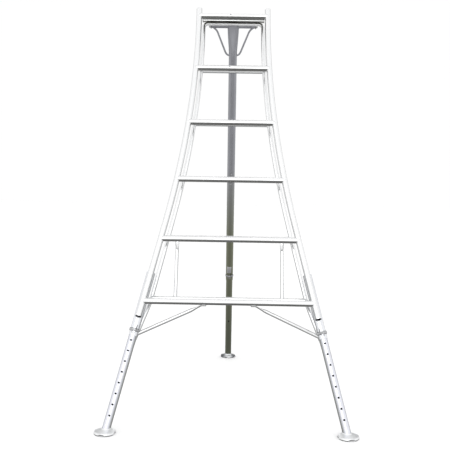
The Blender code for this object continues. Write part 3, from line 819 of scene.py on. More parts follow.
def leg_painted_shade(finish, tone):
    """Painted olive shade down the inner side of a leg, and painted grey shade along its outer edge."""
    facing = finish.inward()
    tone = finish.paint_shade(tone, facing, 0.42, 0.95, (0.25, 0.262, 0.25))
    return finish.paint_shade(tone, facing, -0.55, -1.0, (0.36, 0.38, 0.44))


def rear_painted_shade(finish, tone):
    """Painted shade and painted olive reflection: greyer at the head, darker and more olive towards the
    ground.
    """
    tone = finish.paint_shade(tone, finish.parts("Object")["Z"], 1.25, 0.80, (0.225, 0.235, 0.17))
    return finish.paint_shade(tone, finish.parts("Object")["Z"], 0.62, 0.15, (0.155, 0.165, 0.125))


def clean(_finish, tone):
    return tone


def pressed_metal(name, colour, dull, roughness, speckle, painted_shade=clean):
    """Pressed, cast or welded metal: clouded, with a fine pitted skin."""
    made = Finish(name, colour, roughness, 1.0)
    clouds = made.noise(made.place(), 22.0, 5.0)
    pits = made.noise(made.place(), speckle, 4.0, 0.6)
    marks = made.spread(made.noise(made.place((1.0, 1.0, 0.2)), 160.0, 2.0), 0.66, 0.74, 0.0, 0.5)
    tone = made.mix(made.spread(clouds, 0.35, 0.75, 0.0, 1.0), colour, dull)
    marked = made.mix(marks, tone, tuple(channel * 0.7 for channel in dull))
    # The last argument paints shade into the colour.
    made.colour(painted_shade(made, marked))
    made.roughness(made.maths("ADD", made.spread(pits, 0.3, 0.7, roughness - 0.06, roughness + 0.08),
                              made.maths("MULTIPLY", marks, 0.15)))
    made.bump(made.maths("ADD", pits, made.maths("MULTIPLY", clouds, 0.6)), 0.25, 0.0004)
    return made.material


def foot_painted_shade(finish, tone):
    """Painted shade on the dish where it faces back behind the leg, and a painted dark line round the foot
    of its rim.
    """
    tone = finish.paint_shade(tone, finish.parts("Normal")["Y"], 0.16, 0.40, (0.38, 0.40, 0.41))
    return finish.paint_shade(tone, finish.parts("Object")["Z"], 0.0052, 0.0020, (0.13, 0.13, 0.13))


def plate_painted_shade(finish, tone):
    # Painted shade on the underside of the tray.
    return finish.painted_under_shade(tone, -0.15, -0.45, (0.13, 0.13, 0.11))


def moulded_plastic(name, colour, dull):
    """Satin moulded plastic with a fine spark-eroded grain."""
    made = Finish(name, colour, 0.5, 0.0)
    grain = made.noise(made.place(), 2600.0, 2.0)
    clouds = made.noise(made.place(), 40.0, 3.0)
    made.colour(made.mix(clouds, colour, dull))
    made.roughness(made.spread(grain, 0.3, 0.7, 0.44, 0.58))
    made.bump(grain, 0.2, 0.0002)
    return made.material


FRAME_FINISH = drawn_aluminium("frame_drawn_aluminium", BRIGHT, BRIGHT_DULL, 0.24, 0.35, frame_painted_shade)
STILE_FINISH = drawn_aluminium("stile_drawn_aluminium", BRIGHT, BRIGHT_DULL, 0.24, 0.35, stile_painted_shade)
TREAD_FINISH = drawn_aluminium("tread_drawn_aluminium", BRIGHT, BRIGHT_DULL, 0.24, 0.35, tread_painted_shade)
BRACE_FINISH = drawn_aluminium("brace_drawn_aluminium", (0.94, 0.945, 0.95), (0.89, 0.895, 0.90), 0.26, 0.35,
                               brace_painted_shade)
# Painted light: the hoop's colours are a little lighter than the frame's, so that it looks brighter.
HOOP_FINISH = drawn_aluminium("hoop_drawn_aluminium", (0.96, 0.965, 0.97), (0.92, 0.925, 0.93), 0.26, 0.3,
                              hoop_painted_shade)
SLEEVE_FINISH = drawn_aluminium("sleeve_drawn_aluminium", (0.89, 0.905, 0.935), (0.83, 0.845, 0.88), 0.26,
                                0.4, sleeve_painted_shade)
LEG_FINISH = drawn_aluminium("leg_drawn_aluminium", (0.875, 0.885, 0.945), (0.80, 0.81, 0.87), 0.27, 0.6,
                             leg_painted_shade)
# Painted shade: the rear leg's aluminium gets dark colours, as if it stood in shade.
REAR_FINISH = drawn_aluminium("rear_leg_aluminium_painted_shade", (0.37, 0.375, 0.405), (0.31, 0.315, 0.335), 0.36,
                              0.8, rear_painted_shade)
FOOT_FINISH = pressed_metal("foot_pressed_aluminium", (0.97, 0.98, 0.99), (0.92, 0.935, 0.945), 0.42, 900.0,
                            foot_painted_shade)
REAR_FOOT_FINISH = pressed_metal("rear_foot_pressed_aluminium", (0.93, 0.94, 0.96), (0.80, 0.82, 0.85),
                                 0.24, 900.0, rear_foot_painted_shade)
WELD_FINISH = pressed_metal("weld_aluminium", (0.90, 0.905, 0.91), (0.72, 0.73, 0.74), 0.42, 1400.0)
# Painted shade: the rear leg's welds are darkened to match it.
REAR_WELD_FINISH = pressed_metal("rear_weld_aluminium_painted_shade", (0.36, 0.365, 0.38), (0.28, 0.285, 0.29), 0.44,
                                 1400.0)
PLATE_FINISH = pressed_metal("plate_pressed_aluminium", (0.92, 0.93, 0.93), (0.84, 0.85, 0.84), 0.34, 700.0,
                             plate_painted_shade)
STEEL_FINISH = pressed_metal("spring_steel_zinc", (0.55, 0.555, 0.565), (0.36, 0.365, 0.37), 0.28, 1800.0)
# Painted shade: the lock's rim wires and spring tail are near black, so that they read as shade lines along
# the band's edges.
WIRE_SHADE_FINISH = pressed_metal("spring_wire_painted_shade", (0.09, 0.09, 0.095), (0.05, 0.05, 0.052), 0.34, 1800.0)
CAP_FINISH = moulded_plastic("cap_moulded_plastic", (0.84, 0.84, 0.85), (0.76, 0.76, 0.77))


# ---- front frame ------------------------------------------------------------------------------
def stile_path(side):
    levels = [STILE_BOTTOM + 0.0006, FLARE_END]
    steps = 40
    for step in range(1, steps + 1):
        levels.append(blend(FLARE_END, FLARE_START, step / steps))
    levels.append(STILE_TOP)
    return fine([frame_point(side * stile_across(level), level, 0.0) for level in levels], 0.05)


def stile_neighbour(side, along):
    """The front stile as a round tube near one of its points."""
    low, centre, high = (frame_point(side * stile_across(level), level, 0.0)
                         for level in (along - 0.01, along, along + 0.01))
    return centre, (high - low).normalized(), STILE_RADIUS - EMBED


def rear_stile_neighbour(side, along):
    low, centre, high = (level_behind(side * rear_across(level), level, TREAD_DEPTH)
                         for level in (along - 0.01, along, along + 0.01))
    return centre, (high - low).normalized(), REAR_STILE_RADIUS - EMBED


def rung_neighbour(along):
    return frame_point(0.0, along, 0.0), ACROSS, RUNG_RADIUS - EMBED


def rear_rung_neighbour(along):
    return level_behind(0.0, along, TREAD_DEPTH), ACROSS, REAR_RUNG_RADIUS - EMBED


def sleeve_neighbour(side):
    return leg_point(side, SLEEVE_BOTTOM), leg_down(side), SLEEVE_RADIUS - EMBED


def make_stiles():
    for label, side in SIDES.items():
        shell = Shell()
        tube(shell, stile_path(side), STILE_RADIUS, STILE_RADIUS - TUBE_WALL)
        name = "front_stile_" + label
        piece(shell, name + "_tube", "front_frame", STILE_FINISH, (name,))
        make_stile_cap(label, side)


def make_stile_cap(label, side):
    """Push-in plug: ribbed stem, flange with a moulding line and a shallow dome."""
    stem = STILE_RADIUS - TUBE_WALL - 0.0002
    profile = [(-0.014, stem * 0.93), (-0.013, stem * 0.97)]
    for rib in range(3):
        base = -0.0115 + rib * RIB_PITCH
        profile += [(base, stem * 0.95), (base + 0.0006, stem)]
        profile += [(base + 0.0018, stem), (base + 0.0024, stem * 0.95)]
    profile += [(0.0002, stem), (0.0002, STILE_RADIUS - 0.0003), (0.0005, STILE_RADIUS),
                (0.0018, STILE_RADIUS), (0.0021, STILE_RADIUS - 0.0004), (0.0024, STILE_RADIUS - 0.0001)]
    profile += [(0.0024 + height, radius * 0.99) for height, radius in dome(STILE_RADIUS, 0.0029)]
    shell = Shell()
    top = frame_point(side * TOP_HALF_WIDTH, STILE_TOP, 0.0)
    turned(shell, top, FRAME_UP, profile, TUBE_SIDES)
    name = "stile_cap_" + label
    piece(shell, name + "_plug", "front_frame", CAP_FINISH, (name,))


def rear_hoop_path():
    """From one sleeve up the rear of the frame, over the top and down to the other sleeve."""
    lift = TREAD_DEPTH * FRAME_UP.y
    behind = TREAD_DEPTH * FRAME_UP.z
    half = []
    low_across = LEG_START - math.tan(FLARE) * REAR_STILE_END - REAR_STILE_TUCK
    half.append((low_across, REAR_STILE_END, LEG_BEHIND + REAR_STILE_BACK))
    levels = [FIRST_RUNG - 0.020, 0.75, FLARE_END]
    levels += [blend(FLARE_END, TOP_RUNG - 0.11, step / 24) for step in range(1, 25)]
    half += [(rear_across(level), level + lift, behind) for level in levels]
    top = TOP_RUNG + lift - HOOP_DROP
    wide = rear_across(TOP_RUNG)
    for step in range(13):
        angle = math.pi / 2.0 * step / 12
        across = wide - HOOP_BEND * (1.0 - math.cos(angle))
        half.append((across, top - HOOP_BEND * (1.0 - math.sin(angle)), behind))
    left = [frame_point(-across, along, back) for across, along, back in half]
    right = [frame_point(across, along, back) for across, along, back in half]
    left[1:2] = rounded(left[:3], 0.03)[1:-1]
    right[1:2] = rounded(right[:3], 0.03)[1:-1]
    return fine(left + right[::-1], 0.05)


def make_rear_hoop(welds):
    shell = Shell()
    seams = tube(shell, rear_hoop_path(), REAR_STILE_RADIUS, REAR_STILE_RADIUS - SMALL_WALL, SMALL_SIDES,
                 start=sleeve_neighbour(-1.0), end=sleeve_neighbour(1.0))
    for seam in seams:
        bead(welds, seam, SMALL_WELD)
    nodes = ("rear_stile_left", "rear_stile_right", "rear_top_tube")
    piece(shell, "rear_hoop_tube", "front_frame", HOOP_FINISH, nodes)


def circle(centre, first, second, radius, count):
    """Points round a circle that starts towards first and turns towards second."""
    turns = [TURN * step / count for step in range(count)]
    return [centre + (first * math.cos(turn) + second * math.sin(turn)) * radius for turn in turns]


def straight(start, end, spacing=0.12):
    return fine([start, end], spacing)


def make_rungs(welds):
    for number in range(1, RUNG_COUNT + 2):
        along = FIRST_RUNG + (number - 1) * RUNG_PITCH
        name = "front_rung_top" if number > RUNG_COUNT else "front_rung_%d" % number
        reach = stile_across(along)
        path = straight(frame_point(-reach, along, 0.0), frame_point(reach, along, 0.0))
        shell = Shell()
        seams = tube(shell, path, RUNG_RADIUS, RUNG_RADIUS - TUBE_WALL,
                     start=stile_neighbour(-1.0, along), end=stile_neighbour(1.0, along))
        for seam in seams:
            bead(welds, seam, WELD)
        piece(shell, name + "_tube", "front_frame", TREAD_FINISH, (name,))
        if number <= RUNG_COUNT:
            make_rear_rung(number, along, welds)
            make_spacers(number, along, welds)


def make_rear_rung(number, along, welds):
    reach = rear_across(along)
    path = straight(level_behind(-reach, along, TREAD_DEPTH), level_behind(reach, along, TREAD_DEPTH))
    shell = Shell()
    seams = tube(shell, path, REAR_RUNG_RADIUS, REAR_RUNG_RADIUS - SMALL_WALL, SMALL_SIDES + 8,
                 start=rear_stile_neighbour(-1.0, along), end=rear_stile_neighbour(1.0, along))
    for seam in seams:
        bead(welds, seam, FILLET_WELD * 0.8 if number == 1 else WELD)
    name = "rear_rung_%d" % number
    piece(shell, name + "_tube", "front_frame", FRAME_FINISH, (name,))


def make_spacers(number, along, welds):
    """Short level tubes that tie a rung's ends to the rear stiles."""
    for label, side in SIDES.items():
        across = side * rear_across(along)
        path = straight(level_behind(across, along, 0.0), level_behind(across, along, TREAD_DEPTH), 0.02)
        shell = Shell()
        seams = tube(shell, path, SPACER_RADIUS, SPACER_RADIUS - SMALL_WALL, SMALL_SIDES, UP,
                     start=rung_neighbour(along), end=rear_stile_neighbour(side, along))
        for seam in seams:
            bead(welds, seam, SMALL_WELD)
        name = "tread_spacer_%d_%s" % (number, label)
        piece(shell, name + "_tube", "front_frame", FRAME_FINISH, (name,))


def make_rung_rivets():
    for number, level in enumerate((TOP_RUNG, TOP_RUNG - RUNG_PITCH), start=1):
        shell = Shell()
        node = "rung_rivet_%d" % number
        spot = middle(node)
        spot += -FRAME_BACK * ((frame_point(0.0, level, -RUNG_RADIUS) - spot).dot(-FRAME_BACK))
        rivet(shell, spot, -FRAME_BACK)
        piece(shell, node + "_head", "front_frame", STEEL_FINISH, (node,))


def make_struts(welds):
    """Upright tubes between the two lowest treads, pressed flat at the top end."""
    low = level_behind(0.0, FIRST_RUNG, TREAD_DEPTH)
    high = level_behind(0.0, FIRST_RUNG + RUNG_PITCH, TREAD_DEPTH)
    span = (high - low).length

    def crimp(distance):
        share = ease((distance - (span - 0.062)) / 0.032)
        return blend(1.0, 1.14, share), blend(1.0, 0.42, share)

    for label, side in SIDES.items():
        shift = ACROSS * (side * STRUT_ACROSS)
        shell = Shell()
        seams = tube(shell, fine([low + shift, high + shift], 0.004), STRUT_RADIUS,
                     STRUT_RADIUS - SMALL_WALL, SMALL_SIDES, FRAME_BACK, crimp,
                     rear_rung_neighbour(FIRST_RUNG), rear_rung_neighbour(FIRST_RUNG + RUNG_PITCH))
        bead(welds, seams[0], FILLET_WELD)
        bead(welds, seams[1], SMALL_WELD)
        name = "strut_" + label
        piece(shell, name + "_tube", "front_frame", FRAME_FINISH, (name,))


def make_braces(welds):
    """Diagonal tubes from the sleeves to the underside of the lowest rung."""
    flat = (1.22, 0.34)
    for label, side in SIDES.items():
        start = LEG_START - math.tan(FLARE) * 0.468
        under = FIRST_RUNG - RUNG_RADIUS - BRACE_RADIUS * flat[1] - 0.0002
        low = frame_point(side * (start - 0.016), 0.4620, LEG_BEHIND + 0.007)
        bend = frame_point(side * (BRACE_REACH + 0.034), under - 0.006, 0.002)
        tip = frame_point(side * BRACE_REACH, under, 0.0)
        flattened = frame_point(side * (BRACE_REACH + 0.024), under, 0.0)
        path = fine(rounded([low, bend, flattened, tip], 0.01), 0.012)
        bend_at = (bend - low).length

        def pressed(distance):
            share = ease((distance - bend_at * 0.86) / (bend_at * 0.14))
            return blend(1.0, flat[0], share), blend(1.0, flat[1], share)

        shell = Shell()
        seams = tube(shell, path, BRACE_RADIUS, BRACE_RADIUS - SMALL_WALL, SMALL_SIDES, FRAME_UP, pressed,
                     sleeve_neighbour(side))
        bead(welds, seams[0], WELD)
        for edge in (-1.0, 1.0):
            line = [frame_point(side * (BRACE_REACH + reach), under + BRACE_RADIUS * flat[1] * 0.7,
                                edge * (BRACE_RADIUS * flat[0] - 0.0012)) for reach in (0.001, 0.024)]
            bead(welds, line, SMALL_WELD, False, FRAME_UP)
        name = "diagonal_brace_" + label
        piece(shell, name + "_tube", "front_frame", BRACE_FINISH, (name,))


def make_platform(welds):
    """Folded tray with fine grip ribs, lips turned down in front and at its ends."""
    low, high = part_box("platform_plate")
    work = bmesh.new()
    lip_back = HOOP.y - PLATE_LIP_END
    outline = {"x": (low.x, high.x), "y": (low.y, lip_back, high.y)}
    top = {}
    for x in outline["x"]:
        for y in outline["y"]:
            top[x, y] = work.verts.new((x, y, high.z))
    down = {key: work.verts.new((key[0], key[1], low.z)) for key in top if key[1] < high.y}
    left, right = outline["x"]
    front, bend, back = outline["y"]
    work.faces.new((top[left, front], top[right, front], top[right, bend], top[left, bend]))
    work.faces.new((top[left, bend], top[right, bend], top[right, back], top[left, back]))
    work.faces.new((top[right, front], top[left, front], down[left, front], down[right, front]))
    work.faces.new((top[left, front], top[left, bend], down[left, bend], down[left, front]))
    work.faces.new((top[right, bend], top[right, front], down[right, front], down[right, bend]))
    mesh = bpy.data.meshes.new("platform_tray")
    bmesh.ops.recalc_face_normals(work, faces=work.faces)
    work.to_mesh(mesh)
    work.free()
    if mesh.polygons[0].normal.z < 0.0:
        mesh.flip_normals()
    tray = bpy.data.objects.new("platform_tray", mesh)
    bpy.context.scene.collection.objects.link(tray)
    mesh.materials.append(PLATE_FINISH)
    thick = tray.modifiers.new("sheet", "SOLIDIFY")
    thick.thickness = PLATE_THICKNESS
    thick.offset = -1.0
    fold = tray.modifiers.new("fold", "BEVEL")
    fold.width = 0.0010
    fold.segments = 3
    fold.limit_method = "ANGLE"
    mesh.shade_smooth()
    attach(tray, "front_frame")
    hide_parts("platform_plate")
    make_grip_ribs(low, high)
    for reach in (-0.11, 0.0, 0.11):
        line = [Vector((reach + shift, low.y - 0.0004, frame_point(0.0, TOP_RUNG, 0.0).z - 0.0015))
                for shift in (-0.016, 0.016)]
        bead(welds, line, SMALL_WELD, False, UP)


def make_grip_ribs(low, high):
    """Half-round ribs along the platform, as on a rolled tread plate."""
    shell = Shell()
    count = 8
    radius = 0.0012
    for step in range(count):
        y = blend(low.y + 0.009, high.y - 0.009, step / (count - 1))
        reach = high.x - 0.012
        stations = [(-reach, 0.25), (-reach + 0.0012, 0.8), (-reach + 0.003, 1.0), (0.0, 1.0),
                    (reach - 0.003, 1.0), (reach - 0.0012, 0.8), (reach, 0.25)]
        rings = [ring(shell, Vector((x, y, high.z - 0.0003)), (ACROSS.cross(UP), UP), radius * size, x, 12)
                 for x, size in stations]
        for one, other in zip(rings, rings[1:]):
            shell.bridge(one, other)
        shell.fan(rings[0])
        shell.fan(rings[-1])
    piece(shell, "platform_grip_ribs", "front_frame", PLATE_FINISH)


# ---- front legs -------------------------------------------------------------------------------
def make_sleeves(welds):
    for label, side in SIDES.items():
        shell = Shell()
        down = leg_down(side)
        top = leg_point(side, SLEEVE_TOP)
        length = (leg_point(side, SLEEVE_BOTTOM) - top).length
        pin = (leg_point(side, LOCK_ALONG) - top).length
        wall = DrilledTube(shell, top, down, -FRAME_BACK, SLEEVE_RADIUS, SLEEVE_BORE)
        wall.build(0.0, length, [(pin, 0.0)], PIN_RADIUS + 0.0003)
        name = "leg_sleeve_" + label
        piece(shell, name + "_tube", "front_frame", SLEEVE_FINISH, (name,))
        stitch_sleeve(side, welds)


def stitch_sleeve(side, welds):
    """Weld stitches in the two valleys between the stile and the sleeve."""
    size = 0.0030
    gap = Vector((LEG_OUTSET, LEG_BEHIND))
    span = gap.length
    near = STILE_RADIUS + size * 0.6
    far = SLEEVE_RADIUS + size * 0.6
    reach = (near * near - far * far + span * span) / (2.0 * span)
    height = math.sqrt(max(near * near - reach * reach, 0.0))
    to_sleeve = gap.normalized()
    square = Vector((-to_sleeve.y, to_sleeve.x))
    for low, high in ((0.545, 0.580), (0.632, 0.667), (0.712, 0.747)):
        for edge in (-1.0, 1.0):
            spot = to_sleeve * reach + square * (height * edge)
            line = [frame_point(side * (stile_across(level) + spot.x), level, spot.y)
                    for level in (low, high)]
            bead(welds, line, size, False, ACROSS * (side * edge))


def make_front_legs():
    for label, side in SIDES.items():
        body = "front_leg_" + label
        top = leg_point(side, LEG_TOP)
        down = leg_down(side)
        foot_end = leg_point(side, leg_along_at_height(LEG_END_HEIGHT))
        lock = (leg_point(side, LOCK_ALONG) - top).length
        numbers = range(-HOLES_ABOVE_LOCK, HOLES_BELOW_LOCK + 1)
        holes = [(lock + number * HOLE_PITCH, 0.0) for number in numbers]
        shell = Shell()
        wall = DrilledTube(shell, top, down, -FRAME_BACK, LEG_RADIUS, LEG_BORE)
        wall.build(0.0, (foot_end - top).length, holes, HOLE_RADIUS)
        piece(shell, body + "_tube", body, LEG_FINISH, (body,))
        make_foot(label, body, foot_end, down, LEG_RADIUS, FOOT_FINISH)


def foot_profile(bore):
    """Outer skin from the neck down to the rim, then back under it: (radius, height, lean share)."""
    corners = [(bore, FOOT_NECK), (bore + 0.0020, FOOT_NECK), (bore + 0.0034, FOOT_NECK - 0.0030),
               (bore + 0.0085, 0.0180), (bore + 0.0170, 0.0152), (FOOT_RADIUS - 0.0028, 0.0116),
               (FOOT_RADIUS, 0.0070), (FOOT_RADIUS, 0.0), (FOOT_RADIUS - 0.0042, 0.0),
               (FOOT_RADIUS - 0.0050, 0.0045), (bore + 0.0130, 0.0105), (bore, 0.0135)]
    path = rounded([Vector((radius, height, 0.0)) for radius, height in corners], 0.0035, 4)
    return [(point.x, point.y, 1.0 - ease((point.x - bore - 0.005) / 0.012)) for point in path]


def claw_lift(angle):
    """Height of the rim over the ground: flat lobes with rounded notches between them."""
    wave = math.cos(CLAW_COUNT * angle)
    return CLAW_NOTCH * ease(max(wave + 0.10, 0.0) / 1.10)


def make_foot(label, body, leg_end, down, leg_radius, finish):
    """Pressed dish with a clawed rim, and the weld round its neck."""
    ground = leg_end + down * (leg_end.z / -down.z)
    tilt = Vector((down.x, down.y, 0.0)).normalized()
    grow = 1.0 / -down.z
    sides = 96
    shell = Shell()
    rings = []
    for radius, height, follow in foot_profile(leg_radius + 0.0003):
        centre = ground - down * (height / -down.z) * follow
        centre.z = height
        made = []
        for step in range(sides):
            angle = TURN * step / sides
            offset = Vector((math.cos(angle), math.sin(angle), 0.0)) * radius
            offset += tilt * (offset.dot(tilt) * (blend(1.0, grow, follow) - 1.0))
            rim = ease((radius - FOOT_RADIUS + 0.016) / 0.012) * max(1.0 - height / 0.016, 0.0)
            lift = claw_lift(angle - CLAW_PHASE[label]) * rim
            pull = offset.normalized() * (-0.12 * lift)
            made.append(shell.add(centre + offset + pull + UP * lift, angle, height, radius))
        rings.append(made)
    for one, other in zip(rings, rings[1:] + rings[:1]):
        shell.bridge(one, other)
    name = "foot_" + label
    piece(shell, name + "_dish", body, finish, (name,), 50.0)
    make_neck_weld(name, body, ground, down, leg_radius)


def make_neck_weld(name, body, ground, down, leg_radius):
    centre = ground - down * (FOOT_NECK / -down.z)
    first = ACROSS.cross(down).normalized()
    axes = (first, down.cross(first))
    shell = Shell()
    line = []
    for step in range(TUBE_SIDES):
        angle = TURN * step / TUBE_SIDES
        spoke = axes[0] * math.cos(angle) + axes[1] * math.sin(angle)
        point = centre + spoke * (leg_radius + 0.0006)
        point += down * ((point.z - FOOT_NECK) / -down.z)
        line.append(point)
    bead(shell, line, 0.0013)
    piece(shell, name + "_neck_weld", body, WELD_FINISH)


# ---- locks ------------------------------------------------------------------------------------
def band_section(thickness, height):
    """Rounded rectangle, as (out, along) points."""
    soft = 0.0006
    made = []
    for out, along, turn in ((1, 1, 0.0), (-1, 1, 0.25), (-1, -1, 0.5), (1, -1, 0.75)):
        for step in range(3):
            angle = TURN * (turn + step / 8.0)
            made.append((out * (thickness / 2.0 - soft) + soft * math.cos(angle),
                         along * (height / 2.0 - soft) + soft * math.sin(angle)))
    return made


def make_band(shell, centre, face, axis, inner, wrap, height):
    across = axis.cross(face).normalized()
    section = band_section(BAND_THICKNESS, height)
    rings = []
    steps = 48
    for step in range(steps + 1):
        share = step / steps
        angle = wrap * (share - 0.5)
        curl = ease((abs(share - 0.5) - 0.455) / 0.045)
        spoke = face * math.cos(angle) + across * math.sin(angle)
        reach = inner + BAND_THICKNESS / 2.0 + 0.0022 * curl
        made = []
        for out, along in section:
            squeeze = 1.0 - 0.25 * curl
            made.append(shell.add(centre + spoke * (reach + out) + axis * (along * squeeze), along * 50.0,
                                  angle * inner, 0.01))
        rings.append(made)
    for one, other in zip(rings, rings[1:]):
        shell.bridge(one, other)
    shell.fan(rings[0])
    shell.fan(rings[-1])


def make_band_rims(shell, centre, face, axis, inner, wrap, height):
    """Wires rolled into the two edges of a band."""
    across = axis.cross(face).normalized()
    for edge in (-1.0, 1.0):
        path = []
        for step in range(41):
            angle = wrap * 0.9 * (step / 40 - 0.5)
            spoke = face * math.cos(angle) + across * math.sin(angle)
            path.append(centre + spoke * (inner + BAND_THICKNESS * 0.75) + axis * (height / 2.0 * edge))
        tube(shell, path, RIM_WIRE, None, 10, axis)


def wire_loop(shell, centre, first, second, radius, wire, start=0.0, sweep_angle=TURN):
    """Round wire bent into a ring or part of one."""
    closed = sweep_angle >= TURN - 1e-6
    steps = 40
    rings = []
    for step in range(steps if closed else steps + 1):
        angle = start + sweep_angle * step / steps
        spoke = first * math.cos(angle) + second * math.sin(angle)
        rings.append(ring(shell, centre + spoke * radius, (spoke, first.cross(second).normalized()), wire,
                          angle * radius, 10))
    for one, other in zip(rings, rings[1:]):
        shell.bridge(one, other)
    if closed:
        shell.bridge(rings[-1], rings[0])
    else:
        shell.fan(rings[0])
        shell.fan(rings[-1])


def make_lock(label, body, centre, face, axis, tube_radius, tail_side):
    """Spring band that hugs a tube, its locking pin with a pull ring, and the spring's tail."""
    inner = tube_radius + 0.0003
    outer = inner + BAND_THICKNESS
    across = axis.cross(face).normalized()
    shell = Shell()
    make_band(shell, centre, face, axis, inner, BAND_WRAP, BAND_HEIGHT)
    name = "lock_band_" + label
    piece(shell, name + "_spring", body, STEEL_FINISH, (name,))

    swing = tail_side * BAND_WRAP * 0.17
    spoke = face * math.cos(swing) + across * math.sin(swing)
    root = centre + spoke * (outer + 0.0004)
    tail = fine(rounded([root + axis * 0.0065, root - axis * 0.010, root - axis * 0.020 + spoke * 0.0004,
                         root - axis * 0.022 + spoke * 0.0025], 0.004), 0.004)
    shell = Shell()
    make_band_rims(shell, centre, face, axis, inner, BAND_WRAP, BAND_HEIGHT)
    tube(shell, tail, 0.0012, None, 12, spoke)
    # These wires carry the painted shade lines of the lock band.
    piece(shell, "lock_wire_" + label, body, WIRE_SHADE_FINISH)

    shell = Shell()
    tip = tube_radius - (SLEEVE_RADIUS - LEG_RADIUS) + 0.0003
    head = outer + 0.0003
    profile = [(tip, PIN_RADIUS * 0.55), (tip + 0.0006, PIN_RADIUS * 0.85), (tip + 0.0012, PIN_RADIUS),
               (head, PIN_RADIUS), (head, PIN_HEAD_RADIUS - 0.0004), (head + 0.0004, PIN_HEAD_RADIUS),
               (head + 0.0016, PIN_HEAD_RADIUS), (head + 0.0020, PIN_HEAD_RADIUS - 0.0004)]
    profile += [(head + 0.0020 + height, radius) for height, radius
                in dome(PIN_HEAD_RADIUS * 0.72, PIN_HEAD_THICKNESS - 0.0020)]
    turned(shell, centre, face, profile)
    ring_centre = centre + face * (head + PIN_HEAD_THICKNESS * 0.75) + axis * (RING_RADIUS * 0.88)
    wire_loop(shell, ring_centre, axis, (across + face * 0.25).normalized(), RING_RADIUS, RING_WIRE)
    name = "lock_pin_" + label
    piece(shell, name + "_and_ring", body, STEEL_FINISH, (name,))


def make_front_locks():
    for label, side in SIDES.items():
        down = leg_down(side)
        across = down.cross(-FRAME_BACK)
        inboard = 1.0 if across.x * side < 0.0 else -1.0
        spot = leg_point(side, LOCK_ALONG)
        make_lock(label, "lock_" + label, spot, -FRAME_BACK, down, SLEEVE_RADIUS, inboard)


# ---- pivot and rear leg -----------------------------------------------------------------------
def make_pivot():
    shell = Shell()
    inner = CROSS_TUBE_HALF + LUG_THICKNESS + 0.0009
    reach = ACROSS * (inner + 0.009)
    tube(shell, straight(PIVOT - reach, PIVOT + reach), ROD_RADIUS, None, SMALL_SIDES, UP)
    for side in SIDES.values():
        way = ACROSS * side
        face = PIVOT + way * inner
        turned(shell, face, way, WASHER_PROFILE)
        turned(shell, face + way * 0.0016, way, [(0.0, 0.0078), (0.0006, 0.0086), (0.0044, 0.0086),
                                                 (0.0051, 0.0076)], 6)
    piece(shell, "pivot_rod_and_nuts", "front_frame", STEEL_FINISH, ("pivot_rod",))


def make_lugs(welds):
    """Cheek plates from the hoop to the rod's ends."""
    away = PIVOT - HOOP
    forward = -away.normalized()
    side_way = Vector((0.0, -forward.z, forward.y))
    reach = away.length - REAR_STILE_RADIUS + EMBED
    for label, side in SIDES.items():
        outline = [forward * reach + side_way * LUG_NECK]
        for step in range(25):
            angle = math.pi * step / 24
            outline.append((side_way * math.cos(angle) - forward * math.sin(angle)) * LUG_RADIUS)
        outline.append(forward * reach - side_way * LUG_NECK)
        centre = PIVOT + ACROSS * (side * (CROSS_TUBE_HALF + 0.0003 + LUG_THICKNESS / 2.0))
        shell = Shell()
        half = LUG_THICKNESS / 2.0
        rings = []
        for shift, shrink in ((-half, 0.94), (-half + 0.0006, 1.0), (half - 0.0006, 1.0), (half, 0.94)):
            rings.append([shell.add(centre + ACROSS * shift + point * shrink, index * 0.3, shift)
                          for index, point in enumerate(outline)])
        for one, other in zip(rings, rings[1:]):
            shell.bridge(one, other)
        shell.fan(rings[0])
        shell.fan(rings[-1])
        name = "pivot_lug_" + label
        piece(shell, name + "_plate", "front_frame", FRAME_FINISH, (name,))
        for edge in (-1.0, 1.0):
            root = centre + forward * (reach - 0.0005) + ACROSS * (edge * half)
            line = [root + side_way * (LUG_NECK * 0.9 * end) for end in (-1.0, 1.0)]
            bead(welds, line, SMALL_WELD, False, ACROSS)


def head_shape(along):
    """Width and thickness factors of the rear leg's pressed head."""
    share = ease(along / HEAD_TAPER)
    return blend(HEAD_WIDTH, 1.0, share), blend(HEAD_THICKNESS, 1.0, share)


